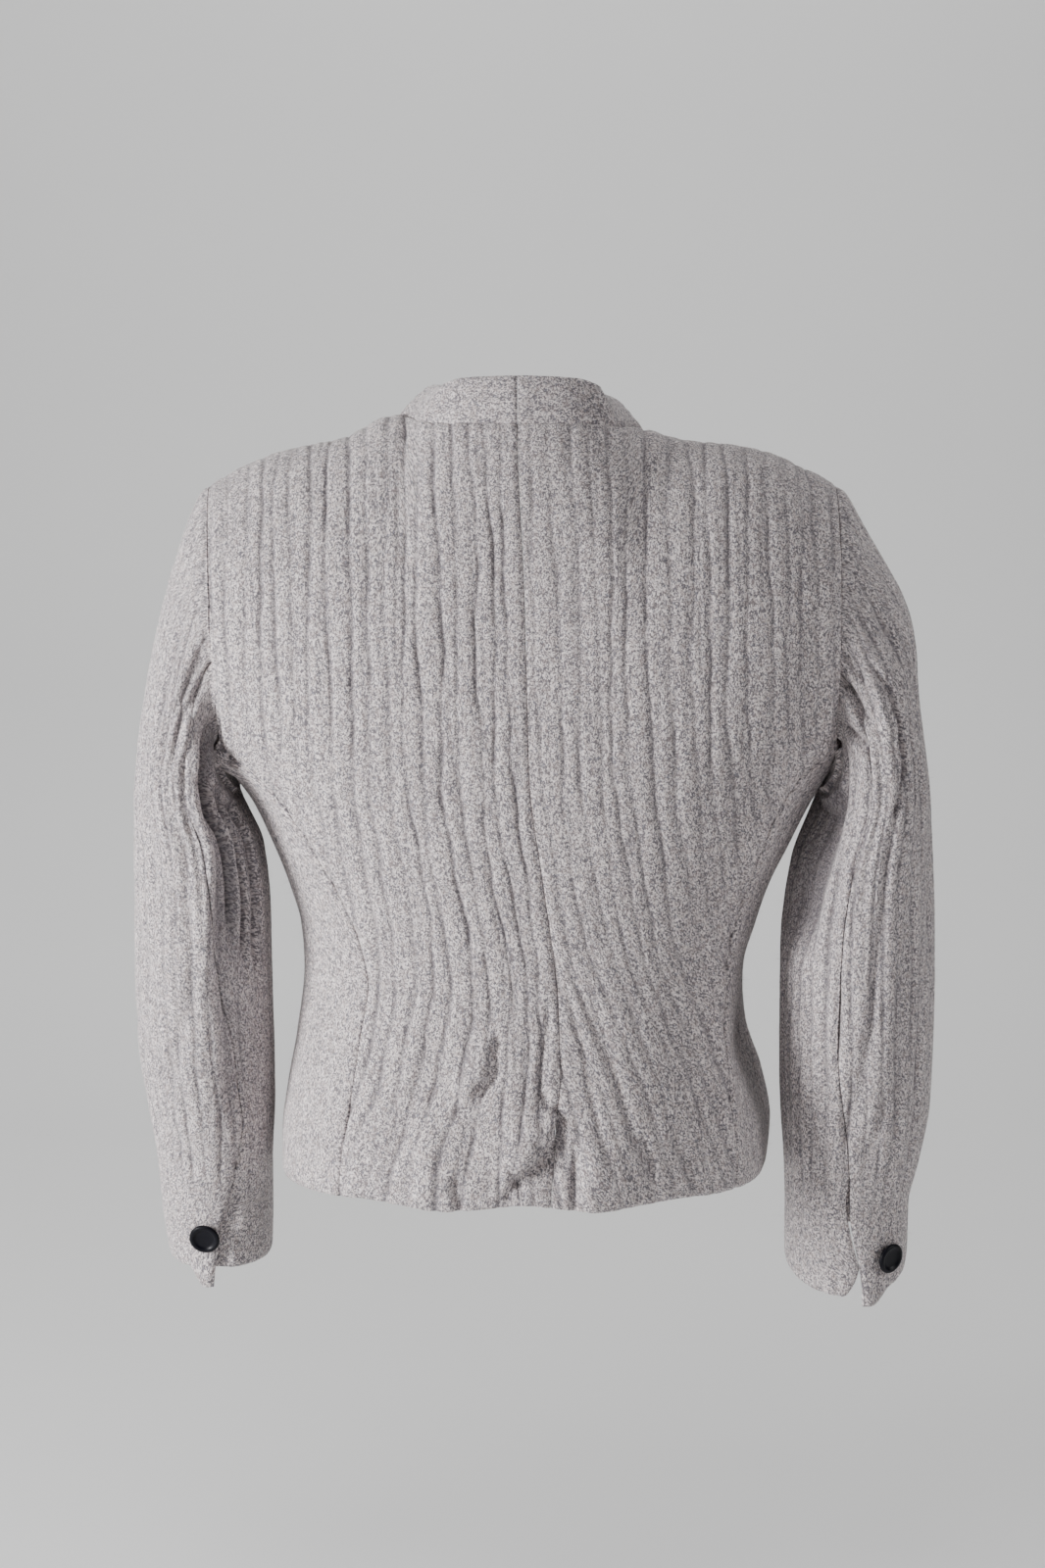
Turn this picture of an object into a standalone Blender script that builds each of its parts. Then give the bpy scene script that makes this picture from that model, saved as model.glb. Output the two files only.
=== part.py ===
"""A short one-button jacket of crinkled wool, worn shape, modelled panel by panel.

Metres, +Z up. The front faces -Y and the wearer's left is +X. The origin is the middle of the neck
opening at the height of the neck points of the shoulders, where the wearer's shoulders carry it.
"""

import bmesh
import bpy
import numpy as np
from mathutils import Matrix, Vector

LEFT, RIGHT = 1, -1
BACK, FRONT = "back", "front"

# Cloth
WALL = 0.0022
SEAM = 0.0003
RIB_HEIGHT = 0.0012
RIB_PITCH = 0.0129

# Heights of the body
HEM = -0.476
WAIST = -0.342
BREAK = -0.280
UNDERARM = -0.195
YOKE = -0.130
CLIMB = 0.120
UNDERARM_DIP = 0.020

# Places across and in depth
MIDDLE = -0.015
SHOULDER = 0.1965
NECK_DIP = {LEFT: 0.0, RIGHT: 0.010}
NECK_DIP_PLACE = 0.086
NECK_DIP_SPREAD = 0.024
FRONT_LAP = 0.022
UNDERLAP = 0.0062
HEM_CORNER = 0.045

# Sleeves
SLEEVE_TOP = -0.240
FRONT_SEAM_ANGLE = np.radians(-110)
CAP_BUMP = {LEFT: 0.0, RIGHT: 0.0105}
CAP_BUMP_WAY = 0.50
CAP_BUMP_LENGTH = 0.17
CAP_BUMP_ANGLE = np.radians(15)
CAP_BUMP_SPREAD = np.radians(85)
VENT = {LEFT: 0.067, RIGHT: 0.084}
VENT_LAP = {LEFT: 0.014, RIGHT: -0.0003}
VENT_CORNER = 0.015
VENT_CORNER_RISE = 0.019
VENT_GAPE = {LEFT: 0.0, RIGHT: 0.0026}
VENT_GAPE_HEIGHT = 0.058
VENT_GAPE_LENGTH = 0.011
VENT_STEP = WALL + 0.0014
TAB_WIDTH = 0.0235
TAB_FLAT = 0.007

# Buttons
BUTTON_RADIUS = 0.010
BUTTON_THICK = 0.0034
BUTTON_FROM_EDGE = {LEFT: 0.011, RIGHT: 0.0225}
BUTTON_LIFT = RIB_HEIGHT + 0.0006
FRONT_BUTTON_Z = -0.300

# Colours
WOOL_COLOUR = (0.42, 0.41, 0.41, 1.0)
BUTTON_COLOUR = (0.012, 0.012, 0.016, 1.0)


def table(columns, rows):
    """A table of sizes as one array for each named column; the first column rises."""
    return dict(zip(columns.split(), np.array(rows, float).T))


# Half widths to each side, and where the middle of the back and of the front stand, at each height.
TORSO = table("z left right back front square_back square_front", [
    (-0.476, 0.1545, 0.1540, 0.100, -0.135, 2.2, 2.1),
    (-0.450, 0.1540, 0.1550, 0.102, -0.136, 2.2, 2.1),
    (-0.420, 0.1500, 0.1490, 0.098, -0.135, 2.2, 2.1),
    (-0.385, 0.1440, 0.1400, 0.089, -0.131, 2.2, 2.1),
    (-0.342, 0.1395, 0.1415, 0.080, -0.127, 2.2, 2.1),
    (-0.315, 0.1415, 0.1485, 0.080, -0.128, 2.2, 2.1),
    (-0.290, 0.1485, 0.1570, 0.084, -0.132, 2.2, 2.1),
    (-0.265, 0.1580, 0.1690, 0.089, -0.137, 2.3, 2.1),
    (-0.237, 0.1710, 0.1830, 0.094, -0.140, 2.3, 2.1),
    (-0.211, 0.1900, 0.1990, 0.098, -0.138, 2.3, 2.0),
    (-0.195, 0.2030, 0.2100, 0.100, -0.134, 2.3, 2.0),
    (-0.163, 0.2220, 0.2250, 0.101, -0.124, 2.3, 2.0),
    (-0.130, 0.2350, 0.2350, 0.100, -0.110, 2.3, 2.0),
])

# Where the centre-back seam has swung to, across, at each height.
DRIFT = table("z x", [
    (-0.476, -0.0175), (-0.435, -0.0195), (-0.397, -0.0230), (-0.352, -0.0220),
    (-0.312, -0.0173), (-0.266, -0.0107), (-0.215, -0.0042), (-0.130, -0.0020),
])

# Side edges of the back, from its centre seam, and of the front, from the middle line: the side-body
# seams up to the underarm, and above it the armhole. Each row is also a row of the panels' points.
EDGES = table("z back_left back_right front", [
    (-0.476, 0.1320, 0.1180, 0.1180), (-0.445, 0.1305, 0.1150, 0.1165), (-0.410, 0.1280, 0.1090, 0.1140),
    (-0.375, 0.1230, 0.1060, 0.1100), (-0.342, 0.1170, 0.1080, 0.1080), (-0.310, 0.1215, 0.1170, 0.1125),
    (-0.280, 0.1325, 0.1310, 0.1230), (-0.250, 0.1455, 0.1460, 0.1385), (-0.222, 0.1645, 0.1645, 0.1570),
    (-0.195, 0.1925, 0.1925, 0.1760), (-0.163, 0.1930, 0.1930, 0.1725), (-0.130, 0.1935, 0.1935, 0.1730),
])
BACK_WIDEST = EDGES["back_left"].max()
FRONT_WIDEST = EDGES["front"].max()

# The V of the neckline: how far its edge stands from the middle line, below zero past it.
NECKLINE = table("h across", [
    (-0.280, -0.0220), (-0.222, 0.0005), (-0.163, 0.0225), (-0.130, 0.0340), (-0.010, 0.0678),
])

# Neck and shoulder line that the back and the front climb to, with the pull and lean of the cloth there.
TOPS = {
    BACK: table("across x y z pull lean_y lean_z", [
        (0.0000, 0.0000, 0.0600, 0.0010, 0.130, -0.055, 0.115),
        (0.0300, 0.0300, 0.0550, 0.0010, 0.130, -0.062, 0.108),
        (0.0580, 0.0580, 0.0380, 0.0025, 0.140, -0.085, 0.085),
        (0.0770, 0.0770, -0.0040, 0.0070, 0.155, -0.115, -0.014),
        (0.1150, 0.1150, -0.0040, -0.0080, 0.150, -0.125, -0.012),
        (0.1550, 0.1550, -0.0060, -0.0165, 0.140, -0.110, -0.006),
        (0.1965, 0.1975, -0.0100, -0.0362, 0.120, -0.085, -0.006),
    ]),
    FRONT: table("across x y z pull lean_y lean_z", [
        (0.0000, 0.0000, -0.0720, -0.0800, 0.050, 0.010, 0.050),
        (0.0300, 0.0300, -0.0680, -0.0680, 0.060, 0.015, 0.055),
        (0.0580, 0.0580, -0.0450, -0.0380, 0.090, 0.050, 0.070),
        (0.0770, 0.0770, -0.0040, 0.0070, 0.140, 0.110, -0.014),
        (0.1150, 0.1150, -0.0040, -0.0080, 0.150, 0.115, -0.012),
        (0.1550, 0.1550, -0.0060, -0.0165, 0.140, 0.100, -0.006),
        (0.1965, 0.1975, -0.0100, -0.0362, 0.120, 0.078, -0.006),
    ]),
}

# Largest folds, out from the rings: where round the body, at what height, how wide and how far out.
FOLDS = table("angle z spread_angle spread_z out", [
    (-118.0, -0.430, 20.0, 0.095, 0.0270),
    (-88.0, -0.400, 13.0, 0.045, -0.0070),
    (116.0, -0.420, 18.0, 0.060, 0.0080),
    (-7.0, -0.447, 5.0, 0.016, -0.0050),
    (2.0, -0.432, 6.0, 0.022, 0.0045),
    (24.0, -0.455, 7.0, 0.026, 0.0040),
    (-26.0, -0.456, 7.0, 0.026, 0.0040),
    (27.0, -0.402, 5.0, 0.016, -0.0035),
])

# Collar band, from the centre back (0) past the neck point (1) to the break of the front (2).
COLLAR = table("place width inward lean_y lean_z", [
    (0.0, 0.0285, 0.00, -0.22, 0.97), (0.5, 0.0270, 0.14, -0.16, 0.94),
    (0.74, 0.0240, 0.40, -0.09, 0.86), (1.0, 0.0262, 0.68, -0.02, 0.66), (1.5, 0.0230, 0.90, -0.05, 0.40),
    (2.0, 0.0090, 0.95, 0.00, 0.30),
])

# Each sleeve below the armhole: outer and inner side, middle and half depth, and the hind seam's angle.
ARMS = {
    LEFT: table("z outer inner middle depth hind", [
        (-0.540, 0.2335, 0.1665, -0.052, 0.041, 88.0), (-0.507, 0.2372, 0.1650, -0.045, 0.044, 103.0),
        (-0.475, 0.2385, 0.1645, -0.037, 0.047, 118.0), (-0.436, 0.2426, 0.1620, -0.027, 0.050, 127.0),
        (-0.400, 0.2467, 0.1610, -0.018, 0.053, 125.0), (-0.353, 0.2480, 0.1618, -0.009, 0.056, 115.0),
        (-0.300, 0.2472, 0.1620, -0.005, 0.058, 106.0), (-0.265, 0.2465, 0.1655, -0.004, 0.060, 102.0),
        (-0.240, 0.2462, 0.1765, -0.004, 0.061, 100.0),
    ]),
    RIGHT: table("z outer inner middle depth hind", [
        (-0.556, 0.2500, 0.1735, -0.040, 0.042, 74.0), (-0.527, 0.2526, 0.1728, -0.036, 0.044, 82.0),
        (-0.500, 0.2523, 0.1722, -0.031, 0.046, 93.0), (-0.468, 0.2580, 0.1708, -0.024, 0.049, 99.0),
        (-0.436, 0.2628, 0.1680, -0.018, 0.052, 105.0), (-0.385, 0.2634, 0.1662, -0.010, 0.055, 111.0),
        (-0.320, 0.2625, 0.1662, -0.005, 0.058, 109.0), (-0.275, 0.2606, 0.1720, -0.004, 0.060, 105.0),
        (-0.240, 0.2588, 0.1850, -0.004, 0.061, 103.0),
    ]),
}
CUFF = {LEFT: -0.541, RIGHT: -0.543}
CUFF_TILT = {LEFT: 0.002, RIGHT: 0.015}
TAB_DROP = {LEFT: 0.013, RIGHT: 0.008}
CUFF_BUTTON_Z = {LEFT: -0.518, RIGHT: -0.520}

# Rows of points up the body, on over the shoulder, round the armhole to the arm, and down the arm.
BODY_ROWS = EDGES["z"]
YOKE_ROWS = YOKE + CLIMB * np.array([0.25, 0.5, 0.75, 1.0 - SEAM / CLIMB / 2])
CAP_ROWS = np.array([0.0, 0.1, 0.25, 0.45, 0.7])
ARM_ROWS = 1.0 + np.array([0.0, 0.17, 0.33, 0.5, 0.65, 0.777, 0.83, 0.885, 0.94, 1.0])

# Ribs of the crinkled cloth in each piece, half of them ridge and half of them valley.
BACK_RIBS = round(BACK_WIDEST / RIB_PITCH)
FRONT_RIBS = round((FRONT_WIDEST + FRONT_LAP) / RIB_PITCH)
SIDE_RIBS = 8
SLEEVE_TOP_RIBS = 14
SLEEVE_UNDER_RIBS = 9


def read(sizes, column, at):
    """A column of a table at places along its first column, as a curve with no overshoot between rows."""
    x = next(iter(sizes.values()))
    y = sizes[column]
    steps = np.diff(y) / np.diff(x)
    before, after = steps[:-1], steps[1:]
    same_way = before * after > 0
    total = np.where(same_way, before + after, 1.0)
    inside = np.where(same_way, 2.0 * before * after / total, 0.0)
    slope = np.concatenate([steps[:1], inside, steps[-1:]])
    at = np.clip(at, x[0], x[-1])
    i = np.clip(np.searchsorted(x, at) - 1, 0, len(x) - 2)
    span = x[i + 1] - x[i]
    return hermite((at - x[i]) / span, y[i], slope[i] * span, y[i + 1], slope[i + 1] * span)


def hermite(t, start, leave, end, arrive):
    """The cubic from start to end with these end slopes."""
    t2, t3 = t * t, t * t * t
    return (
        start * (2 * t3 - 3 * t2 + 1)
        + leave * (t3 - 2 * t2 + t)
        + end * (3 * t2 - 2 * t3)
        + arrive * (t3 - t2)
    )


def ease(t):
    """0 to 1, eased at both ends."""
    t = np.clip(t, 0.0, 1.0)
    return t * t * (3 - 2 * t)


def unit(vectors):
    return vectors / np.linalg.norm(vectors, axis=-1, keepdims=True)


def facing(along, across, outward):
    """Unit normals of a surface from its two tangents, on the outward side."""
    normals = unit(np.cross(along, across))
    turned = np.sum(normals * outward, axis=-1, keepdims=True) < 0
    return np.where(turned, -normals, normals)


def half_shape(angle, z):
    """Half width, depth and squareness of the ring on the side of this angle."""
    half = np.where(np.sin(angle) >= 0, read(TORSO, "left", z), read(TORSO, "right", z))
    behind = np.cos(angle) >= 0
    depth = np.where(behind, read(TORSO, "back", z) - MIDDLE, MIDDLE - read(TORSO, "front", z))
    square = np.where(behind, read(TORSO, "square_back", z), read(TORSO, "square_front", z))
    return half, depth, square


def folds(angle, z):
    """How far the largest folds stand out from the ring."""
    out = np.zeros(np.broadcast(angle, z).shape)
    for at, height, spread, tall, reach in zip(*FOLDS.values()):
        turn = (np.degrees(angle) - at) / spread
        rise = (z - height) / tall
        out = out + reach * np.exp(-turn * turn - rise * rise)
    return out


def ring(angle, z):
    """A point of the body at an angle round it, 0 at the back and towards the left, and a height."""
    half, depth, square = half_shape(angle, z)
    across, behind = np.sin(angle), np.cos(angle)
    reach = ((np.abs(across) / half) ** square + (np.abs(behind) / depth) ** square) ** (-1 / square)
    x, y = reach * across, reach * behind
    slope_x = np.sign(x) * np.abs(x / half) ** (square - 1) / half
    slope_y = np.sign(y) * np.abs(y / depth) ** (square - 1) / depth
    length = np.hypot(slope_x, slope_y)
    out = folds(angle, z)
    return np.stack([x + out * slope_x / length, MIDDLE + y + out * slope_y / length, z + 0 * x], axis=-1)


def angle_at(kind, across, z):
    """The angle round the ring of the point this far across, on the back or the front."""
    toward = 0.0 if kind == BACK else np.pi
    half, depth, square = half_shape(np.where(across >= 0, 1, -1) * np.abs(toward - 0.1), z)
    inside = np.clip(1 - np.abs(across / half) ** square, 1e-9, None)
    behind = depth * inside ** (1 / square)
    return np.arctan2(across, behind if kind == BACK else -behind)


def drift(h):
    return read(DRIFT, "x", np.minimum(h, YOKE))


def edge_from(kind, side, h):
    """How far the side edge of the back or the front is from its own middle line."""
    column = "front" if kind == FRONT else "back_left" if side == LEFT else "back_right"
    return read(EDGES, column, np.minimum(h, YOKE))


def edge_across(kind, side, h, gap=0.0):
    """The place across of that edge, moved towards the side by a gap."""
    middle = drift(h) if kind == BACK else 0.0
    return middle + side * (edge_from(kind, side, h) + gap)


def body(kind, across, h):
    """The body's surface: rings up to the yoke, and above it the climb to the neck and shoulder line."""
    low = np.minimum(h, YOKE)
    start = ring(angle_at(kind, across, low), low)
    climb = np.clip((h - YOKE) / CLIMB, 0.0, 1.0)[..., None]
    side = np.where(across >= 0, 1.0, -1.0)
    half = np.where(side > 0, edge_across(kind, LEFT, YOKE), -edge_across(kind, RIGHT, YOKE))
    place = np.abs(across) / half * SHOULDER
    tops = TOPS[kind]
    shift = -DRIFT["x"][-1] * 2.5 * (1 - ease(place / 0.1)) if kind == BACK else 0.0
    end_x = side * read(tops, "x", place) + shift
    near_neck = np.exp(-(((place - NECK_DIP_PLACE) / NECK_DIP_SPREAD) ** 2))
    dip = np.where(side > 0, NECK_DIP[LEFT], NECK_DIP[RIGHT]) * near_neck
    end = np.stack([end_x, read(tops, "y", place), read(tops, "z", place) - dip], -1)
    step = 0.002
    upward = (start - ring(angle_at(kind, across, low - step), low - step)) / step
    leave = upward * read(tops, "pull", place)[..., None]
    arrive = np.stack([0 * place, read(tops, "lean_y", place), read(tops, "lean_z", place)], -1)
    return np.where(climb > 0, hermite(climb, start, leave, end, arrive), start)


def body_normals(kind, across, h):
    step = 0.0006
    along = body(kind, across, h + step) - body(kind, across, h - step)
    sideways = body(kind, across + step, h) - body(kind, across - step, h)
    outward = np.array([0.0, 1.0 if kind == BACK else -1.0, 0.3])
    return facing(along, sideways, outward)


def ribs(columns, fade):
    """Raised ridges on every other column, uneven along their length, dying out where fade is 0."""
    ridge = (np.arange(columns + 1) % 2)[:, None]
    row = np.arange(fade.shape[1])[None, :]
    column = np.arange(columns + 1)[:, None]
    uneven = 0.72 + 0.28 * np.sin(1.9 * column + 1.1 * row)
    return RIB_HEIGHT * ridge * uneven * fade


def wall(name, outer, inner):
    """A closed panel: a flat slab of columns and rows, bent so that its two faces lie on these points."""
    columns, rows = outer.shape[0] - 1, outer.shape[1] - 1
    bm = bmesh.new()
    bmesh.ops.create_grid(bm, x_segments=columns, y_segments=rows, size=0.5)
    raised = bmesh.ops.extrude_face_region(bm, geom=bm.faces[:], use_keep_orig=True)
    for item in raised["geom"]:
        if isinstance(item, bmesh.types.BMVert):
            item.co.z = 1.0
    plain = []
    for edge in bm.edges:
        columns_here = {round((vert.co.x + 0.5) * columns) for vert in edge.verts}
        inside = all(vert.co.z < 0.5 for vert in edge.verts)
        if inside and len(columns_here) == 1 and columns_here.pop() % 2 == 1:
            plain.append(edge)
    bmesh.ops.dissolve_edges(bm, edges=plain, use_verts=True)
    for vert in bm.verts:
        column = round((vert.co.x + 0.5) * columns)
        row = round((vert.co.y + 0.5) * rows)
        vert.co = outer[column, row] if vert.co.z > 0.5 else inner[column, row]
    bmesh.ops.remove_doubles(bm, verts=bm.verts[:], dist=1e-6)
    bmesh.ops.recalc_face_normals(bm, faces=bm.faces[:])
    mesh = bpy.data.meshes.new(name)
    bm.to_mesh(mesh)
    bm.free()
    mesh.shade_smooth()
    mesh.set_sharp_from_angle(angle=np.radians(50))
    return add(name, mesh, "wool", WOOL_COLOUR, 0.95)


def add(name, mesh, finish, colour, roughness):
    """A named object of the jacket with its own material."""
    material = bpy.data.materials.new(f"{name}_{finish}")
    material.use_nodes = True
    shader = material.node_tree.nodes["Principled BSDF"]
    shader.inputs["Base Color"].default_value = colour
    shader.inputs["Roughness"].default_value = roughness
    shader.inputs["Metallic"].default_value = 0.0
    mesh.materials.append(material)
    piece = bpy.data.objects.new(name, mesh)
    bpy.data.collections["one_button_jacket"].objects.link(piece)
    return piece


def body_panel(name, kind, across, h, fade):
    """A back or front panel on the body's surface, ribbed outside and plain inside."""
    points = body(kind, across, h)
    normals = body_normals(kind, across, h)
    raised = ribs(across.shape[0] - 1, fade)[..., None]
    return points + normals * raised, points - normals * WALL


def panel_rows():
    return np.concatenate([BODY_ROWS, YOKE_ROWS])[None, :]


def back_panel(side, word):
    h = panel_rows()
    edge = edge_from(BACK, side, h)
    fan = np.where(h < WAIST, edge / edge_from(BACK, side, WAIST), 1.0)
    from_seam = np.linspace(0.0, BACK_WIDEST, 2 * BACK_RIBS + 1)[:, None] * fan
    from_seam = np.clip(from_seam, SEAM / 2, edge - SEAM / 2)
    across = drift(h) + side * from_seam
    fade = ease((edge - SEAM - from_seam) / 0.008) * ease((from_seam - SEAM) / 0.008)
    h = h + 0 * across
    wall(f"back_{word}", *body_panel(f"back_{word}", BACK, across, h, fade))


def neck_edge(h):
    """How far the front's own edge stands from the middle line: the lap, and above the break the V."""
    return np.where(h <= BREAK, -FRONT_LAP, read(NECKLINE, "across", h))


def under(points, side):
    """The left front's edge tucked in under the right one."""
    x, z = points[..., 0], points[..., 2]
    tuck = UNDERLAP * ease((0.052 - x) / 0.034) * ease((-0.09 - z) / 0.06) * (side == LEFT)
    return points + np.stack([0 * tuck, tuck, 0 * tuck], -1)


def front_panel(side, word):
    h = panel_rows()
    edge = edge_from(FRONT, side, h)
    from_edge = np.linspace(0.0, FRONT_WIDEST + FRONT_LAP, 2 * FRONT_RIBS + 1)[:, None]
    reach = np.clip(from_edge - FRONT_LAP, neck_edge(h) + SEAM / 2, edge - SEAM / 2)
    corner = np.clip(HEM_CORNER - from_edge, 0.0, None)
    rise = HEM_CORNER - np.sqrt(HEM_CORNER**2 - corner**2)
    lift = rise * np.clip(1 - (h - HEM) / 0.1, 0.0, 1.0)
    fade = ease((edge - SEAM - reach) / 0.008) * ease((reach - neck_edge(h) - SEAM) / 0.008)
    if side == LEFT:
        fade = fade * ease((reach - 0.03) / 0.02)
    outer, inner = body_panel(f"front_{word}", FRONT, side * reach, h + lift, fade)
    wall(f"front_{word}", under(outer, side), under(inner, side))


def underarm(along):
    """The height of the side panel's top edge, from the back (0) to the front (1)."""
    return UNDERARM - UNDERARM_DIP * np.sin(np.pi * along) ** 0.8


def side_points(side, along, z):
    """The side panel's surface and normals between the back's edge (0) and the front's edge (1)."""
    def point(part, height):
        first = angle_at(BACK, edge_across(BACK, side, height, SEAM / 2), height)
        last = angle_at(FRONT, edge_across(FRONT, side, height, SEAM / 2), height)
        return ring(first + (last - first) * part, height)

    step = 0.0006
    points = point(along, z)
    upward = point(along, z + step) - point(along, z - step)
    sideways = point(along + 0.003, z) - point(along - 0.003, z)
    return points, facing(upward, sideways, np.array([side, 0.0, 0.0]))


def side_panel(side, word):
    columns = 2 * SIDE_RIBS
    along = np.linspace(0.0, 1.0, columns + 1)[:, None]
    rows = BODY_ROWS[BODY_ROWS <= UNDERARM + 1e-6][None, :]
    z = HEM + (rows - HEM) * (underarm(along) - HEM) / (UNDERARM - HEM)
    points, normals = side_points(side, along + 0 * z, z)
    fade = ease(np.minimum(along, 1 - along) / 0.08) * (0.6 + 0 * z)
    raised = ribs(columns, fade)[..., None]
    wall(f"side_{word}", points + normals * raised, points - normals * WALL)


def armhole(side):
    """The armhole's edge as a loop from the shoulder down the back, under the arm and up the front.

    Gives its points, the way the sleeve leaves each of them, and the angle that each has round the arm.
    """
    heights = np.concatenate([BODY_ROWS[BODY_ROWS >= UNDERARM - 1e-6], YOKE_ROWS])
    step = 0.002
    points, leave = [], []
    for kind, order in ((BACK, heights[::-1]), (FRONT, heights)):
        across = edge_across(kind, side, order)
        at = body(kind, across, order)
        outward = unit(at - body(kind, across - side * step, order))
        downward = unit(body(kind, across, order - step) - at)
        turn = np.radians(40) * ease((YOKE + CLIMB - order) / (YOKE + CLIMB - UNDERARM))[:, None]
        points.append(at)
        leave.append(unit(np.cos(turn) * outward + np.sin(turn) * downward))
    along = np.linspace(0.0, 1.0, 2 * SIDE_RIBS + 1)[1:-1]
    below, _ = side_points(side, along, underarm(along))
    share = along[:, None]
    between = unit(leave[0][-1] * (1 - share) + leave[1][0] * share)
    points = np.concatenate([points[0], below, points[1]])
    leave = np.concatenate([leave[0], between, leave[1]])
    lengths = np.concatenate([[0.0], np.cumsum(np.linalg.norm(np.diff(points, axis=0), axis=1))])
    lowest = lengths[np.argmin(points[:, 2])]
    angle = np.interp(lengths, [0.0, lowest, lengths[-1]], [0.0, np.pi, 2 * np.pi])
    low = ease(1 - np.abs(angle - np.pi) / np.radians(75))[:, None]
    leave = unit(leave * (1 - low) + low * unit(np.array([side * 0.5, 0.0, -0.85])))
    return points, leave, angle


def round_loop(values, angle, at):
    """A loop's values at angles round it."""
    at = np.mod(at, 2 * np.pi)
    return np.stack([np.interp(at, angle, values[:, i]) for i in range(3)], axis=-1)


def arm_ring(side, angle, z):
    """A point of the sleeve below its top: 0 is its outer side and a quarter turn is its back."""
    arm = ARMS[side]
    outer, inner = read(arm, "outer", z), read(arm, "inner", z)
    x = (outer + inner) / 2 + (outer - inner) / 2 * np.cos(angle)
    y = read(arm, "middle", z) + read(arm, "depth", z) * np.sin(angle)
    tilt = CUFF_TILT[side] * np.sin(angle) * ease((-0.42 - z) / 0.12)
    return np.stack([side * x, y, z - tilt], axis=-1)


def sleeve(side, angle, way, hole):
    """The sleeve's surface: from the armhole (way 0) over the cap to its top ring (1) and the cuff (2)."""
    points, leave, round_arm = hole
    start = round_loop(points, round_arm, angle)
    low = ease(1 - np.abs(np.mod(angle, 2 * np.pi) - np.pi) / 1.4)[..., None]
    start = start + 3 * SEAM * (1 + 2 * low) * round_loop(leave, round_arm, angle)
    end = arm_ring(side, angle, SLEEVE_TOP + 0 * angle)
    step = 0.004
    onward = unit(arm_ring(side, angle, SLEEVE_TOP - step + 0 * angle) - end)
    length = np.linalg.norm(end - start, axis=-1, keepdims=True)
    pull = 0.25 + 0.25 * ease(1 - np.abs(np.mod(angle, 2 * np.pi) - np.pi) / np.pi)[..., None]
    t = np.clip(way, 0.0, 1.0)[..., None]
    cap = hermite(t, start, round_loop(leave, round_arm, angle) * length * pull, end, onward * length)
    from_bump = np.abs(np.mod(angle - CAP_BUMP_ANGLE + np.pi, 2 * np.pi) - np.pi)
    bump = CAP_BUMP[side] * ease(1 - from_bump / CAP_BUMP_SPREAD)
    cap[..., 0] += side * bump * np.exp(-(((way - CAP_BUMP_WAY) / CAP_BUMP_LENGTH) ** 2))
    z = SLEEVE_TOP + (CUFF[side] - SLEEVE_TOP) * np.clip(way - 1, 0.0, 1.0)
    return np.where(way[..., None] < 1, cap, arm_ring(side, angle, z))


def sleeve_normals(side, angle, way, hole):
    step = 0.004
    late = np.clip(way + step, 0.0, 2.0)
    early = np.clip(way - step, 0.0, 2.0)
    along = sleeve(side, angle, late, hole) - sleeve(side, angle, early, hole)
    around = sleeve(side, angle + 0.06, way, hole) - sleeve(side, angle - 0.06, way, hole)
    here = sleeve(side, angle, way, hole)
    middle = sum(sleeve(side, angle + quarter * np.pi / 2, way, hole) for quarter in range(4)) / 4
    return facing(along, around, here - middle)


def hind_angle(side, way):
    """The angle of the seam down the back of the sleeve."""
    z = SLEEVE_TOP + (CUFF[side] - SLEEVE_TOP) * np.clip(way - 1, 0.0, 1.0)
    return np.radians(read(ARMS[side], "hind", z))


def above_cuff(side, way):
    """The height above the cuff's edge, along the arm."""
    return (2 - way) * (SLEEVE_TOP - CUFF[side])


def sleeve_radius(side, way):
    z = SLEEVE_TOP + (CUFF[side] - SLEEVE_TOP) * np.clip(way - 1, 0.0, 1.0)
    return read(ARMS[side], "depth", z)


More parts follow.
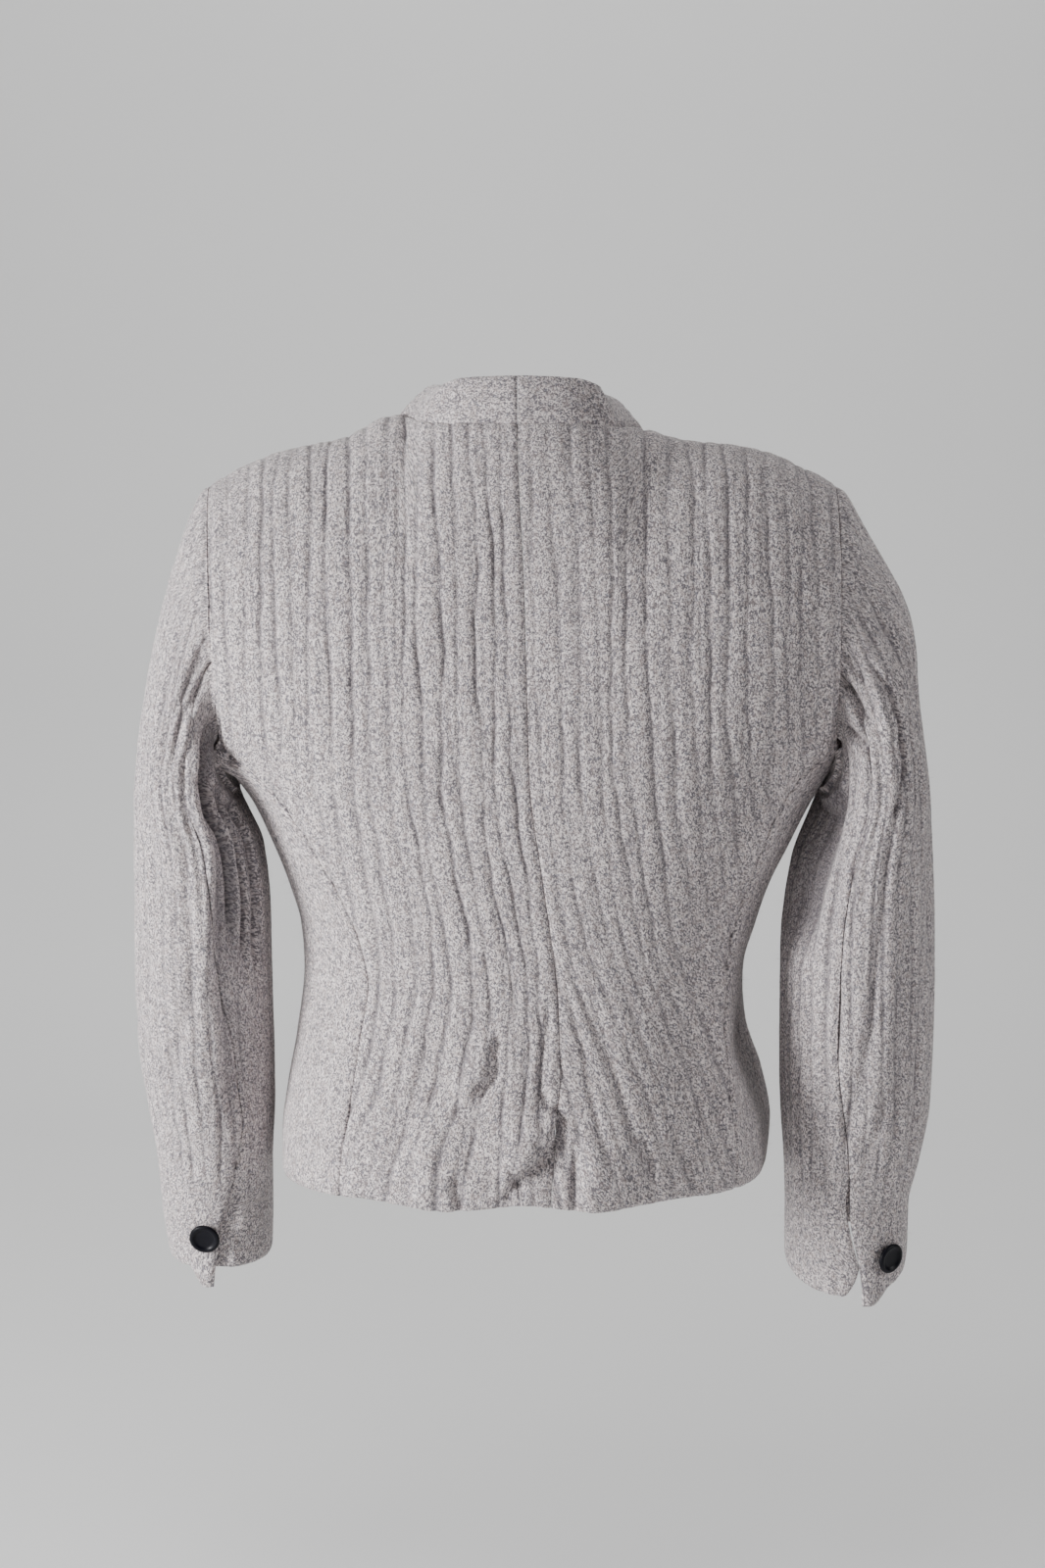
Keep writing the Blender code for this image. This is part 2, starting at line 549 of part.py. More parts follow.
def sleeve_piece(side, word, part, hole):
    """The top sleeve, or the under sleeve, with the vent at the cuff."""
    way = np.concatenate([CAP_ROWS, ARM_ROWS])[None, :]
    hind, radius, height = hind_angle(side, way), sleeve_radius(side, way), above_cuff(side, way)
    gap = 1.5 * SEAM / radius
    if part == "top":
        columns, first, last = 2 * SLEEVE_TOP_RIBS, FRONT_SEAM_ANGLE + gap, hind - gap
    else:
        gape = VENT_GAPE[side] * np.exp(-(((height - VENT_GAPE_HEIGHT) / VENT_GAPE_LENGTH) ** 2))
        lap = (VENT_LAP[side] * ease((VENT[side] - 0.018 - height) / 0.012) - gape) / radius
        columns, first, last = 2 * SLEEVE_UNDER_RIBS, hind + gap - lap, FRONT_SEAM_ANGLE + 2 * np.pi - gap
    along = np.linspace(0.0, 1.0, columns + 1)[:, None]
    angle = first + (last - first) * along
    way = way + 0 * angle
    inside = (angle - hind) * radius
    if part == "under" and side == RIGHT:
        cut = VENT_CORNER_RISE * np.clip(1 - inside / VENT_CORNER, 0.0, 1.0) ** 1.4
        way = way - cut * ease((0.045 - height) / 0.045) / (SLEEVE_TOP - CUFF[side])
        angle = angle + hind_angle(side, way) - hind
    points = sleeve(side, angle, way, hole)
    normals = sleeve_normals(side, angle, way, hole)
    fade = ease(np.minimum(along, 1 - along) / 0.05) * ease(way / 0.2)
    from_hind = np.abs(angle - hind) * radius
    in_vent = ease((VENT[side] - height) / 0.014)
    if part == "top":
        tab = 1 - ease((from_hind - TAB_FLAT) / (TAB_WIDTH - TAB_FLAT))
        points[..., 2] -= TAB_DROP[side] * tab * ease((0.03 - height) / 0.03)
        fade = fade * (1 - in_vent * (1 - ease((from_hind - 0.02) / 0.01)))
    else:
        near = 1 - ease((inside - 0.004) / 0.014)
        if side == LEFT:
            points = points - normals * (VENT_STEP * in_vent * near)[..., None]
        fade = fade * (1 - in_vent * near)
    raised = ribs(columns, fade)[..., None]
    wall(f"sleeve_{part}_{word}", points + normals * raised, points - normals * WALL)


def collar_edge(side):
    """The neckline as points with their way round the collar: 0 centre back, 1 neck point, 2 break."""
    top = YOKE_ROWS[-1]
    count = round(0.077 / BACK_WIDEST * 2 * BACK_RIBS)
    neck_half = side * edge_across(BACK, side, YOKE) * 0.077 / SHOULDER
    start = DRIFT["x"][-1]
    behind = np.linspace(start + side * SEAM / 2, side * neck_half, count + 1)
    rows = panel_rows()[0]
    rows = rows[(rows >= BREAK - 1e-6)][::-1]
    before = side * neck_edge(rows)
    points = np.concatenate([body(BACK, behind, top + 0 * behind), body(FRONT, before, rows)[1:]])
    inside = side * (neck_edge(rows) - 0.004)
    toward = unit(body(FRONT, inside, rows) - body(FRONT, before, rows))[1:]
    toward = np.concatenate([np.repeat(toward[:1], count + 1, axis=0), toward])
    place = np.concatenate([np.linspace(0, 1, count + 1), np.linspace(1, 2, len(rows))[1:]])
    return points, toward, place


def collar_band(side, word):
    """Half of the band that stands round the neck and runs down the front to the break."""
    points, toward, place = collar_edge(side)
    way = np.gradient(points, axis=0)
    way[0] = (side, 0.0, 0.0)
    lean = np.stack([-side * read(COLLAR, "inward", place), read(COLLAR, "lean_y", place),
                     read(COLLAR, "lean_z", place)], axis=-1)
    flat = ease((place - 1.0) / 0.4)[:, None]
    lean = unit(lean) * (1 - flat) + toward * flat
    lean = unit(lean - unit(way) * np.sum(lean * unit(way), axis=-1, keepdims=True))
    outward = facing(way, lean, points - np.array([0.0, 0.0, -0.2]))
    width = read(COLLAR, "width", place)
    rise = np.array([0.0, 0.5, 1.0])[None, :, None]
    bow = 0.0012 * np.sin(np.pi * rise) * (1 - flat[:, None])
    upward = lean[:, None] * (5 * SEAM + width[:, None, None] * rise)
    outer = points[:, None] + upward + outward[:, None] * bow
    inner = outer - outward[:, None] * WALL
    wall(f"collar_{word}", under(outer, side), under(inner, side))


def button(name, point, normal):
    """A dished button with a raised rim, turned on its own axis."""
    profile = [
        (0.0, 0.0020), (0.60 * BUTTON_RADIUS, 0.0021), (0.74 * BUTTON_RADIUS, BUTTON_THICK),
        (0.90 * BUTTON_RADIUS, BUTTON_THICK), (BUTTON_RADIUS, 0.0022),
        (0.82 * BUTTON_RADIUS, 0.0), (0.0, 0.0),
    ]
    mesh = bpy.data.meshes.new(name)
    edges = [(i, i + 1) for i in range(len(profile) - 1)]
    mesh.from_pydata([(r, 0.0, z) for r, z in profile], edges, [])
    piece = add(name, mesh, "plastic", BUTTON_COLOUR, 0.25)
    turned = piece.modifiers.new("turned", "SCREW")
    turned.steps = turned.render_steps = 28
    turned.use_merge_vertices = True
    turned.merge_threshold = 0.00001
    turned.use_normal_calculate = True
    upright = Vector(normal).to_track_quat("Z", "Y").to_matrix().to_4x4()
    piece.matrix_world = Matrix.Translation(Vector(point) + Vector(normal) * BUTTON_LIFT) @ upright


def cuff_button(side, word, hole):
    way = 1 + (CUFF_BUTTON_Z[side] - SLEEVE_TOP) / (CUFF[side] - SLEEVE_TOP)
    way = np.array([way])
    angle = hind_angle(side, way) - BUTTON_FROM_EDGE[side] / sleeve_radius(side, way)
    point = sleeve(side, angle, way, hole)[0]
    button(f"cuff_button_{word}", point, sleeve_normals(side, angle, way, hole)[0])


def front_button():
    across, h = np.array([0.0]), np.array([FRONT_BUTTON_Z])
    button("front_button", body(FRONT, across, h)[0], body_normals(FRONT, across, h)[0])


def main():
    for old in list(bpy.data.objects):
        bpy.data.objects.remove(old, do_unlink=True)
    jacket = bpy.data.collections.new("one_button_jacket")
    bpy.context.scene.collection.children.link(jacket)
    for side, word in ((LEFT, "left"), (RIGHT, "right")):
        hole = armhole(side)
        back_panel(side, word)
        side_panel(side, word)
        front_panel(side, word)
        collar_band(side, word)
        sleeve_piece(side, word, "top", hole)
        sleeve_piece(side, word, "under", hole)
        cuff_button(side, word, hole)
    front_button()


main()
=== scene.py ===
import bmesh
import bpy
import numpy as np
from mathutils import Matrix, Vector


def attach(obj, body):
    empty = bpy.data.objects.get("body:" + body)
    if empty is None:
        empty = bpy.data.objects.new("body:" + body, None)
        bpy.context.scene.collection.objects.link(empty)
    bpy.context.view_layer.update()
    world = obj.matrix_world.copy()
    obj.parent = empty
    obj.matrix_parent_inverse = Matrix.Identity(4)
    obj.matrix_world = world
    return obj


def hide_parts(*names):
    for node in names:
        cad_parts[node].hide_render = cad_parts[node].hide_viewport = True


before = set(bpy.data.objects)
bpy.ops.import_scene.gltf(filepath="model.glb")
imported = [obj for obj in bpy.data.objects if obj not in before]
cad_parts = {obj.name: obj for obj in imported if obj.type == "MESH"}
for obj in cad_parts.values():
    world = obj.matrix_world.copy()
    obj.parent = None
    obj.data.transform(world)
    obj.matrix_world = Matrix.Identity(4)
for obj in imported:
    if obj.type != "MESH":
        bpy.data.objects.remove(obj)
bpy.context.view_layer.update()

LEFT, RIGHT = 1, -1
BACK, FRONT = "back", "front"
WORDS = {LEFT: "left", RIGHT: "right"}

# Cloth
WALL = 0.0022
SEAM = 0.0003
SEAM_ROLL = 0.0013
SEAM_ROLL_WIDTH = 0.0022
HEM_NARROWER = 1.2

# Crinkles: how far a rib sways, turns and breaks off, least and most, and the widths of its parts
CRINKLE_LIFT = 0.0006
RIB_SWAY = (0.0006, 0.0003, 0.00012), (0.0017, 0.0008, 0.0003)
RIB_TURN = (0.12, 0.04, 0.01), (0.3, 0.09, 0.022)
RIB_BREAK = (0.08, 0.025), (0.22, 0.06)
RIB_DEPTH = 0.6, 1.3
RIB_GROOVE = 0.001, 0.0015
RIB_SWELL = 0.0042
RIB_MEAN = 0.0005
RIB_SLANT = {LEFT: 0.24, RIGHT: 0.4}

# Steps of the meshes, and the lengths of cloth that they divide
ACROSS_STEP = 0.0015
BACK_STEP = 0.0009
SLEEVE_STEP = 0.0011
ALONG_STEP = 0.0026
BACK_WIDTH = 0.1935
FRONT_WIDTH = 0.198
SIDE_WIDTH = 0.125
SHOULDER_LENGTH = 0.165
CAP_LENGTH = 0.2
SLEEVE_WIDTH = {"top": 0.215, "under": 0.135}
COLLAR_BEHIND = 0.12
COLLAR_BEFORE = 0.34
COLLAR_HEIGHT = 0.028

# Heights of the body
HEM = -0.476
WAIST = -0.342
BREAK = -0.280
UNDERARM = -0.195
YOKE = -0.130
CLIMB = 0.120
CLIMB_END = 1.0 - SEAM / CLIMB / 2
UNDERARM_DIP = 0.020

# Places across and in depth
MIDDLE = -0.015
SHOULDER = 0.1965
NECK_DIP = {LEFT: 0.0, RIGHT: 0.010}
NECK_DIP_PLACE = 0.086
NECK_DIP_SPREAD = 0.024
FRONT_LAP = 0.022
UNDERLAP = 0.0062
HEM_CORNER = 0.045
COLLAR_LOW = -0.0016

# Sleeves
SLEEVE_TOP = -0.240
ARM_RADIUS = 0.052
FRONT_SEAM_ANGLE = np.radians(-110)
CAP_BUMP = {LEFT: 0.0, RIGHT: 0.0105}
CAP_BUMP_WAY = 0.50
CAP_BUMP_LENGTH = 0.17
CAP_BUMP_ANGLE = np.radians(15)
CAP_BUMP_SPREAD = np.radians(85)
VENT = {LEFT: 0.067, RIGHT: 0.084}
VENT_LAP = {LEFT: 0.014, RIGHT: -0.0003}
VENT_CORNER = 0.015
VENT_CORNER_RISE = 0.019
VENT_GAPE = {LEFT: 0.0, RIGHT: 0.0026}
VENT_GAPE_HEIGHT = 0.058
VENT_GAPE_LENGTH = 0.011
VENT_STEP = WALL + 0.0014
TAB_WIDTH = 0.0235
TAB_FLAT = 0.007
CUFF = {LEFT: -0.541, RIGHT: -0.543}
CUFF_TILT = {LEFT: 0.002, RIGHT: 0.015}
TAB_DROP = {LEFT: 0.013, RIGHT: 0.008}

# Buttons
BUTTON_RADIUS = 0.010
BUTTON_THICK = 0.0034
BUTTON_FROM_EDGE = {LEFT: 0.011, RIGHT: 0.0225}
BUTTON_LIFT = 0.0018
CUFF_BUTTON_Z = {LEFT: -0.518, RIGHT: -0.520}
FRONT_BUTTON_Z = -0.300

# Camera and room
CAMERA_PLACE = (0.0, 1.8, -0.052)
CAMERA_TILT = 84.5
CAMERA_LENS = 65.3
FLOOR_Z = -0.80
FLOOR_END = -1.6
FLOOR_SWEEP = 1.4

# Lamps: name, place, what it is aimed at, size and power
LAMPS = (
    ("key", (1.72, 0.94, -0.10), (0.0, 0.02, -0.25), 0.6, 64.0),
    ("side", (-2.1, 0.75, 0.25), (0.0, 0.0, -0.25), 1.0, 16.0),
    ("top", (0.5, 1.3, 1.9), (0.0, 0.0, -0.2), 1.2, 17.0),
    ("front", (0.4, -2.0, 0.9), (0.0, 0.0, -0.25), 1.6, 6.0),
    ("backdrop", (0.0, -1.3, 2.6), (0.0, -3.0, 0.2), 2.0, 55.0),
)

# Loose fibres
NAP_PER_METRE = 52000
NAP_LENGTH = (0.0018, 0.0062)
NAP_WIDTH = 0.00009
NAP_SCATTER = 0.0012
NAP_ROOT = 0.0008

# Colours of the wool, how strongly its flecks are tinted, and how strongly painted shade darkens its crinkles
# and creases
WOOL_DARK = (0.165, 0.150, 0.166, 1.0)
WOOL_MIDDLE = (0.415, 0.370, 0.378, 1.0)
WOOL_LIGHT = (0.880, 0.800, 0.790, 1.0)
WOOL_WARM = (0.500, 0.400, 0.370, 1.0)
WOOL_COOL = (0.350, 0.365, 0.440, 1.0)
FLECK_TINT = 0.30
VALLEY_SHADE = 0.62

# What each piece is cut to, and its outside with its normals, as they are made
CUTS = {}
SURFACES = {}


def table(columns, rows):
    """A table of sizes as one array for each named column."""
    return dict(zip(columns.split(), np.array(rows, float).T))


# The body's rings: half widths, and where the middles of the back and the front stand, at each height.
TORSO = table("z left right back front square_back square_front", [
    (-0.476, 0.1545, 0.154, 0.1, -0.135, 2.2, 2.1),
    (-0.45, 0.154, 0.155, 0.102, -0.136, 2.2, 2.1),
    (-0.42, 0.15, 0.149, 0.098, -0.135, 2.2, 2.1),
    (-0.385, 0.144, 0.14, 0.089, -0.131, 2.2, 2.1),
    (-0.342, 0.1395, 0.1415, 0.08, -0.127, 2.2, 2.1),
    (-0.315, 0.1415, 0.1485, 0.08, -0.128, 2.2, 2.1),
    (-0.29, 0.1485, 0.157, 0.084, -0.132, 2.2, 2.1),
    (-0.265, 0.158, 0.169, 0.089, -0.137, 2.3, 2.1),
    (-0.237, 0.171, 0.183, 0.094, -0.14, 2.3, 2.1),
    (-0.211, 0.19, 0.199, 0.098, -0.138, 2.3, 2),
    (-0.195, 0.203, 0.21, 0.1, -0.134, 2.3, 2),
    (-0.163, 0.222, 0.225, 0.101, -0.124, 2.3, 2),
    (-0.13, 0.235, 0.235, 0.1, -0.11, 2.3, 2),
])

# Where the centre-back seam has swung to, across, at each height.
DRIFT = table("z x", [
    (-0.476, -0.0175), (-0.435, -0.0195), (-0.397, -0.023), (-0.352, -0.022),
    (-0.312, -0.0173), (-0.266, -0.0107), (-0.215, -0.0042), (-0.13, -0.002),
])

# Side edges of the back, from its centre seam, and of the front, from the middle line.
EDGES = table("z back_left back_right front", [
    (-0.476, 0.132, 0.118, 0.118), (-0.445, 0.1305, 0.115, 0.1165), (-0.41, 0.128, 0.109, 0.114),
    (-0.375, 0.123, 0.106, 0.11), (-0.342, 0.117, 0.108, 0.108), (-0.31, 0.1215, 0.117, 0.1125),
    (-0.28, 0.1325, 0.131, 0.123), (-0.25, 0.1455, 0.146, 0.1385), (-0.222, 0.1645, 0.1645, 0.157),
    (-0.195, 0.1925, 0.1925, 0.176), (-0.163, 0.193, 0.193, 0.1725), (-0.13, 0.1935, 0.1935, 0.173),
])

# The V of the neckline: how far its edge stands from the middle line, below zero past it.
NECKLINE = table("h across", [
    (-0.28, -0.022), (-0.222, 0.0005), (-0.163, 0.0225), (-0.13, 0.034), (-0.01, 0.0678),
])

# Neck and shoulder line that the back and the front climb to, with the pull and lean of the cloth there.
TOPS = {
    BACK: table("across x y z pull lean_y lean_z", [
        (0, 0, 0.06, 0.001, 0.13, -0.055, 0.115),
        (0.03, 0.03, 0.055, 0.001, 0.13, -0.062, 0.108),
        (0.058, 0.058, 0.038, 0.0025, 0.14, -0.085, 0.085),
        (0.077, 0.077, -0.004, 0.007, 0.155, -0.115, -0.014),
        (0.115, 0.115, -0.004, -0.008, 0.15, -0.125, -0.012),
        (0.155, 0.155, -0.006, -0.0165, 0.14, -0.11, -0.006),
        (0.1965, 0.1975, -0.01, -0.0362, 0.12, -0.085, -0.006),
    ]),
    FRONT: table("across x y z pull lean_y lean_z", [
        (0, 0, -0.072, -0.08, 0.05, 0.01, 0.05),
        (0.03, 0.03, -0.068, -0.068, 0.06, 0.015, 0.055),
        (0.058, 0.058, -0.045, -0.038, 0.09, 0.05, 0.07),
        (0.077, 0.077, -0.004, 0.007, 0.14, 0.11, -0.014),
        (0.115, 0.115, -0.004, -0.008, 0.15, 0.115, -0.012),
        (0.155, 0.155, -0.006, -0.0165, 0.14, 0.1, -0.006),
        (0.1965, 0.1975, -0.01, -0.0362, 0.12, 0.078, -0.006),
    ]),
}

# Largest folds, out from the rings: where round the body, at what height, how wide and how far out.
FOLDS = table("angle z spread_angle spread_z out", [
    (-118, -0.43, 20, 0.095, 0.027),
    (-88, -0.4, 13, 0.045, -0.007),
    (116, -0.42, 18, 0.06, 0.008),
    (-7, -0.447, 5, 0.016, -0.005),
    (2, -0.432, 6, 0.022, 0.0045),
    (24, -0.455, 7, 0.026, 0.004),
    (-26, -0.456, 7, 0.026, 0.004),
    (27, -0.402, 5, 0.016, -0.0035),
])

# Collar band, from the centre back (0) past the neck point (1) to the break of the front (2).
COLLAR = table("place width inward lean_y lean_z", [
    (0, 0.0285, 0, -0.22, 0.97), (0.5, 0.027, 0.14, -0.16, 0.94),
    (0.74, 0.024, 0.4, -0.09, 0.86), (1, 0.0262, 0.68, -0.02, 0.66), (1.5, 0.023, 0.9, -0.05, 0.4),
    (2, 0.009, 0.95, 0, 0.3),
])

# Each sleeve below the armhole: outer and inner side, middle and half depth, and the hind seam's angle.
ARMS = {
    LEFT: table("z outer inner middle depth hind", [
        (-0.54, 0.2335, 0.1665, -0.052, 0.041, 88), (-0.507, 0.2372, 0.165, -0.045, 0.044, 103),
        (-0.475, 0.2385, 0.1645, -0.037, 0.047, 118), (-0.436, 0.2426, 0.162, -0.027, 0.05, 127),
        (-0.4, 0.2467, 0.161, -0.018, 0.053, 125), (-0.353, 0.248, 0.1618, -0.009, 0.056, 115),
        (-0.3, 0.2472, 0.162, -0.005, 0.058, 106), (-0.265, 0.2465, 0.1655, -0.004, 0.06, 102),
        (-0.24, 0.2462, 0.1765, -0.004, 0.061, 100),
    ]),
    RIGHT: table("z outer inner middle depth hind", [
        (-0.556, 0.25, 0.1735, -0.04, 0.042, 74), (-0.527, 0.2526, 0.1728, -0.036, 0.044, 82),
        (-0.5, 0.2523, 0.1722, -0.031, 0.046, 93), (-0.468, 0.258, 0.1708, -0.024, 0.049, 99),
        (-0.436, 0.2628, 0.168, -0.018, 0.052, 105), (-0.385, 0.2634, 0.1662, -0.01, 0.055, 111),
        (-0.32, 0.2625, 0.1662, -0.005, 0.058, 109), (-0.275, 0.2606, 0.172, -0.004, 0.06, 105),
        (-0.24, 0.2588, 0.185, -0.004, 0.061, 103),
    ]),
}

# Creases of the back: where each starts and ends, across and in height, its width to its right and
# to its left as seen from behind, and how far out it stands.
BACK_CREASES = table("x_top z_top x_foot z_foot right_width left_width out", [
    (-0.0158, -0.3545, -0.01, -0.406, 0.003, 0.0022, -0.0024),
    (-0.01, -0.406, -0.0215, -0.418, 0.0034, 0.0026, -0.0034),
    (-0.022, -0.415, -0.0223, -0.4315, 0.006, 0.0024, -0.0036),
    (-0.0223, -0.4315, -0.0123, -0.4462, 0.0066, 0.0024, -0.004),
    (-0.0123, -0.4462, 0.0047, -0.4609, 0.0062, 0.0026, -0.0038),
    (0.0047, -0.4609, 0.011, -0.473, 0.0045, 0.003, -0.0034),
    (-0.0172, -0.418, -0.016, -0.433, 0.003, 0.012, 0.004),
    (-0.016, -0.433, -0.006, -0.444, 0.003, 0.013, 0.0048),
    (-0.006, -0.444, 0.011, -0.457, 0.0032, 0.011, 0.0042),
    (0.009, -0.45, 0, -0.471, 0.003, 0.0024, -0.0026),
    (0.0158, -0.372, 0.017, -0.3969, 0.0034, 0.002, -0.0026),
    (0.017, -0.3969, 0.0269, -0.4092, 0.0034, 0.002, -0.0032),
    (0.0269, -0.4092, 0.04, -0.417, 0.0046, 0.0034, -0.0026),
    (0.0215, -0.374, 0.0228, -0.394, 0.003, 0.01, 0.0032),
    (0.0228, -0.394, 0.036, -0.407, 0.003, 0.011, 0.0042),
    (-0.0269, -0.34, -0.0492, -0.437, 0.0028, 0.002, -0.0012),
    (-0.032, -0.338, -0.0761, -0.452, 0.003, 0.002, -0.0013),
    (-0.0419, -0.345, -0.0638, -0.418, 0.0028, 0.002, -0.0011),
    (-0.032, -0.438, -0.0308, -0.476, 0.0034, 0.0022, -0.0034),
    (-0.042, -0.433, -0.043, -0.476, 0.007, 0.007, 0.003),
    (-0.0738, -0.434, -0.08, -0.46, 0.003, 0.0022, -0.003),
    (-0.092, -0.436, -0.103, -0.462, 0.0042, 0.0032, -0.0026),
    (-0.119, -0.393, -0.133, -0.426, 0.004, 0.0032, -0.0024),
    (0.0416, -0.456, 0.0392, -0.476, 0.0032, 0.0024, -0.0034),
    (0.056, -0.43, 0.06, -0.47, 0.008, 0.008, 0.0028),
    (0.048, -0.352, 0.08, -0.45, 0.005, 0.005, -0.0016),
    (0.1, -0.4, 0.108, -0.47, 0.0065, 0.0065, 0.0018),
    (-0.15, -0.205, -0.11, -0.3, 0.005, 0.005, -0.0015),
    (-0.178, -0.12, -0.17, -0.19, 0.005, 0.005, -0.0018),
    (0.187, -0.186, 0.183, -0.199, 0.005, 0.005, 0.0034),
])

# Waves along the back's hem: where across, how wide and how far down.
HEM_WAVES = table("across spread drop", [
    (-0.098, 0.018, -0.0014), (-0.046, 0.022, 0.0026), (-0.001, 0.016, -0.0018), (0.05, 0.022, 0.0026),
    (0.098, 0.016, -0.0012),
])

# Creases of the front, in the same way: drag from the button and soft breaks above the hem.
FRONT_CREASES = table("x_top z_top x_foot z_foot low_width high_width out", [
    (0.03, -0.292, 0.095, -0.27, 0.006, 0.006, -0.0016),
    (-0.03, -0.292, -0.092, -0.274, 0.006, 0.006, -0.0018),
    (-0.028, -0.308, -0.085, -0.332, 0.0065, 0.0065, -0.0018),
    (0.034, -0.31, 0.088, -0.336, 0.006, 0.006, -0.0015),
    (-0.07, -0.395, -0.078, -0.47, 0.008, 0.008, 0.0022),
    (0.064, -0.4, 0.07, -0.47, 0.008, 0.008, 0.002),
    (0.14, -0.15, 0.12, -0.225, 0.007, 0.007, -0.0016),
    (-0.142, -0.145, -0.118, -0.228, 0.007, 0.007, -0.0018),
])

# Creases that both sleeves have in front, as rows of the next tables.
ARM_FRONT_CREASES = [
    (250, -0.33, 300, -0.372, 0.007, 0.007, -0.0024),
    (246, -0.372, 310, -0.4, 0.007, 0.007, -0.0022),
    (290, -0.12, 278, -0.22, 0.006, 0.006, -0.0018),
]

# Creases of the sleeves: angle round the arm in degrees and height at both ends, width towards the
# arm's outer side and towards its inner side, and how far out it stands.
SLEEVE_CREASES = {
    LEFT: table("angle_top z_top angle_foot z_foot outer_width inner_width out", [
        (122, -0.186, 121, -0.245, 0.0048, 0.03, -0.0095),
        (121, -0.245, 112, -0.33, 0.0048, 0.03, -0.009),
        (112, -0.33, 116, -0.43, 0.006, 0.026, -0.0045),
        (110, -0.19, 108, -0.245, 0.009, 0.0032, 0.0028),
        (108, -0.245, 100, -0.34, 0.009, 0.0032, 0.0026),
        (133, -0.198, 128, -0.31, 0.0026, 0.0024, -0.008),
        (139, -0.2, 134, -0.32, 0.003, 0.003, 0.003),
        (146, -0.202, 140, -0.33, 0.0028, 0.0026, -0.0085),
        (158, -0.21, 153, -0.34, 0.003, 0.0028, -0.008),
        (96, -0.14, 72, -0.2, 0.005, 0.0036, -0.0022),
        (100, -0.158, 82, -0.214, 0.005, 0.0036, -0.0024),
        (82, -0.214, 88, -0.32, 0.005, 0.0036, -0.0018),
        (103, -0.172, 97, -0.2, 0.006, 0.0034, 0.0026),
        (97, -0.2, 98, -0.3, 0.0034, 0.0026, -0.002),
        (62, -0.12, 74, -0.215, 0.0055, 0.0045, -0.0018),
        (40, -0.17, 58, -0.3, 0.0055, 0.0055, -0.0014),
        (20, -0.3, 66, -0.372, 0.007, 0.007, -0.0018),
        (96, -0.33, 60, -0.42, 0.0065, 0.0065, -0.002),
        (12, -0.372, 70, -0.412, 0.007, 0.007, -0.002),
        (30, -0.44, 84, -0.468, 0.0065, 0.0065, -0.0018),
    ] + ARM_FRONT_CREASES),
    RIGHT: table("angle_top z_top angle_foot z_foot outer_width inner_width out", [
        (146, -0.2, 142, -0.32, 0.014, 0.026, -0.0125),
        (76, -0.15, 66, -0.182, 0.003, 0.0024, -0.0042),
        (66, -0.182, 66, -0.21, 0.0032, 0.0026, -0.0042),
        (66, -0.21, 78, -0.24, 0.0032, 0.0028, -0.0034),
        (78, -0.24, 86, -0.376, 0.0034, 0.003, -0.0028),
        (86, -0.376, 101, -0.448, 0.0052, 0.0048, -0.0026),
        (84, -0.158, 78, -0.19, 0.005, 0.006, 0.0026),
        (106, -0.157, 95, -0.182, 0.0036, 0.0032, -0.0048),
        (112, -0.168, 104, -0.182, 0.0046, 0.0046, 0.0034),
        (126, -0.184, 104, -0.197, 0.0036, 0.0036, -0.0056),
        (98, -0.135, 88, -0.158, 0.003, 0.0028, -0.0026),
        (50, -0.11, 62, -0.16, 0.004, 0.0034, -0.0024),
        (92, -0.2, 96, -0.3, 0.0036, 0.0032, -0.0022),
        (34, -0.15, 50, -0.26, 0.005, 0.0044, -0.0022),
        (20, -0.22, 34, -0.33, 0.0055, 0.0055, -0.0018),
        (58, -0.3, 62, -0.43, 0.0046, 0.0042, -0.0022),
        (38, -0.34, 46, -0.47, 0.0052, 0.0052, -0.002),
        (74, -0.42, 90, -0.492, 0.0046, 0.0042, -0.002),
        (112, -0.24, 118, -0.33, 0.005, 0.0044, -0.0024),
    ] + ARM_FRONT_CREASES),
}

# The crinkles, large and small: least and greatest space between valleys, depth, and how far one fades out.
RIBS = ((0.0085, 0.0140, 0.00078, 0.52), (0.0045, 0.0085, 0.00026, 0.10))

# How strongly each piece is crinkled, and the seed of its own crinkles.
CRINKLES = {
    "back_left": (1.55, 11), "back_right": (1.10, 12), "side_left": (0.30, 13), "side_right": (0.60, 14),
    "front_left": (1.10, 15), "front_right": (1.15, 16), "sleeve_top_left": (1.15, 17),
    "sleeve_top_right": (1.35, 18), "sleeve_under_left": (1.00, 19), "sleeve_under_right": (1.20, 20),
    "collar_left": (0.0, 21), "collar_right": (0.0, 22),
}


def read(sizes, column, at):
    """A column of a table at places along its first column, as a curve with no overshoot between rows."""
    x = next(iter(sizes.values()))
    y = sizes[column]
    steps = np.diff(y) / np.diff(x)
    before, after = steps[:-1], steps[1:]
    same_way = before * after > 0
    total = np.where(same_way, before + after, 1.0)
    inside = np.where(same_way, 2.0 * before * after / total, 0.0)
    slope = np.concatenate([steps[:1], inside, steps[-1:]])
    at = np.clip(at, x[0], x[-1])
    i = np.clip(np.searchsorted(x, at) - 1, 0, len(x) - 2)
    span = x[i + 1] - x[i]
    return hermite((at - x[i]) / span, y[i], slope[i] * span, y[i + 1], slope[i + 1] * span)


def hermite(t, start, leave, end, arrive):
    """The cubic from start to end with these end slopes."""
    t2, t3 = t * t, t * t * t
    return (
        start * (2 * t3 - 3 * t2 + 1)
        + leave * (t3 - 2 * t2 + t)
        + end * (3 * t2 - 2 * t3)
        + arrive * (t3 - t2)
    )


def ease(t):
    """0 to 1, eased at both ends."""
    t = np.clip(t, 0.0, 1.0)
    return t * t * (3 - 2 * t)


def bell(t):
    """1 at the middle, falling away on both sides."""
    return np.exp(-(t**2))


def unit(vectors):
    return vectors / np.linalg.norm(vectors, axis=-1, keepdims=True)


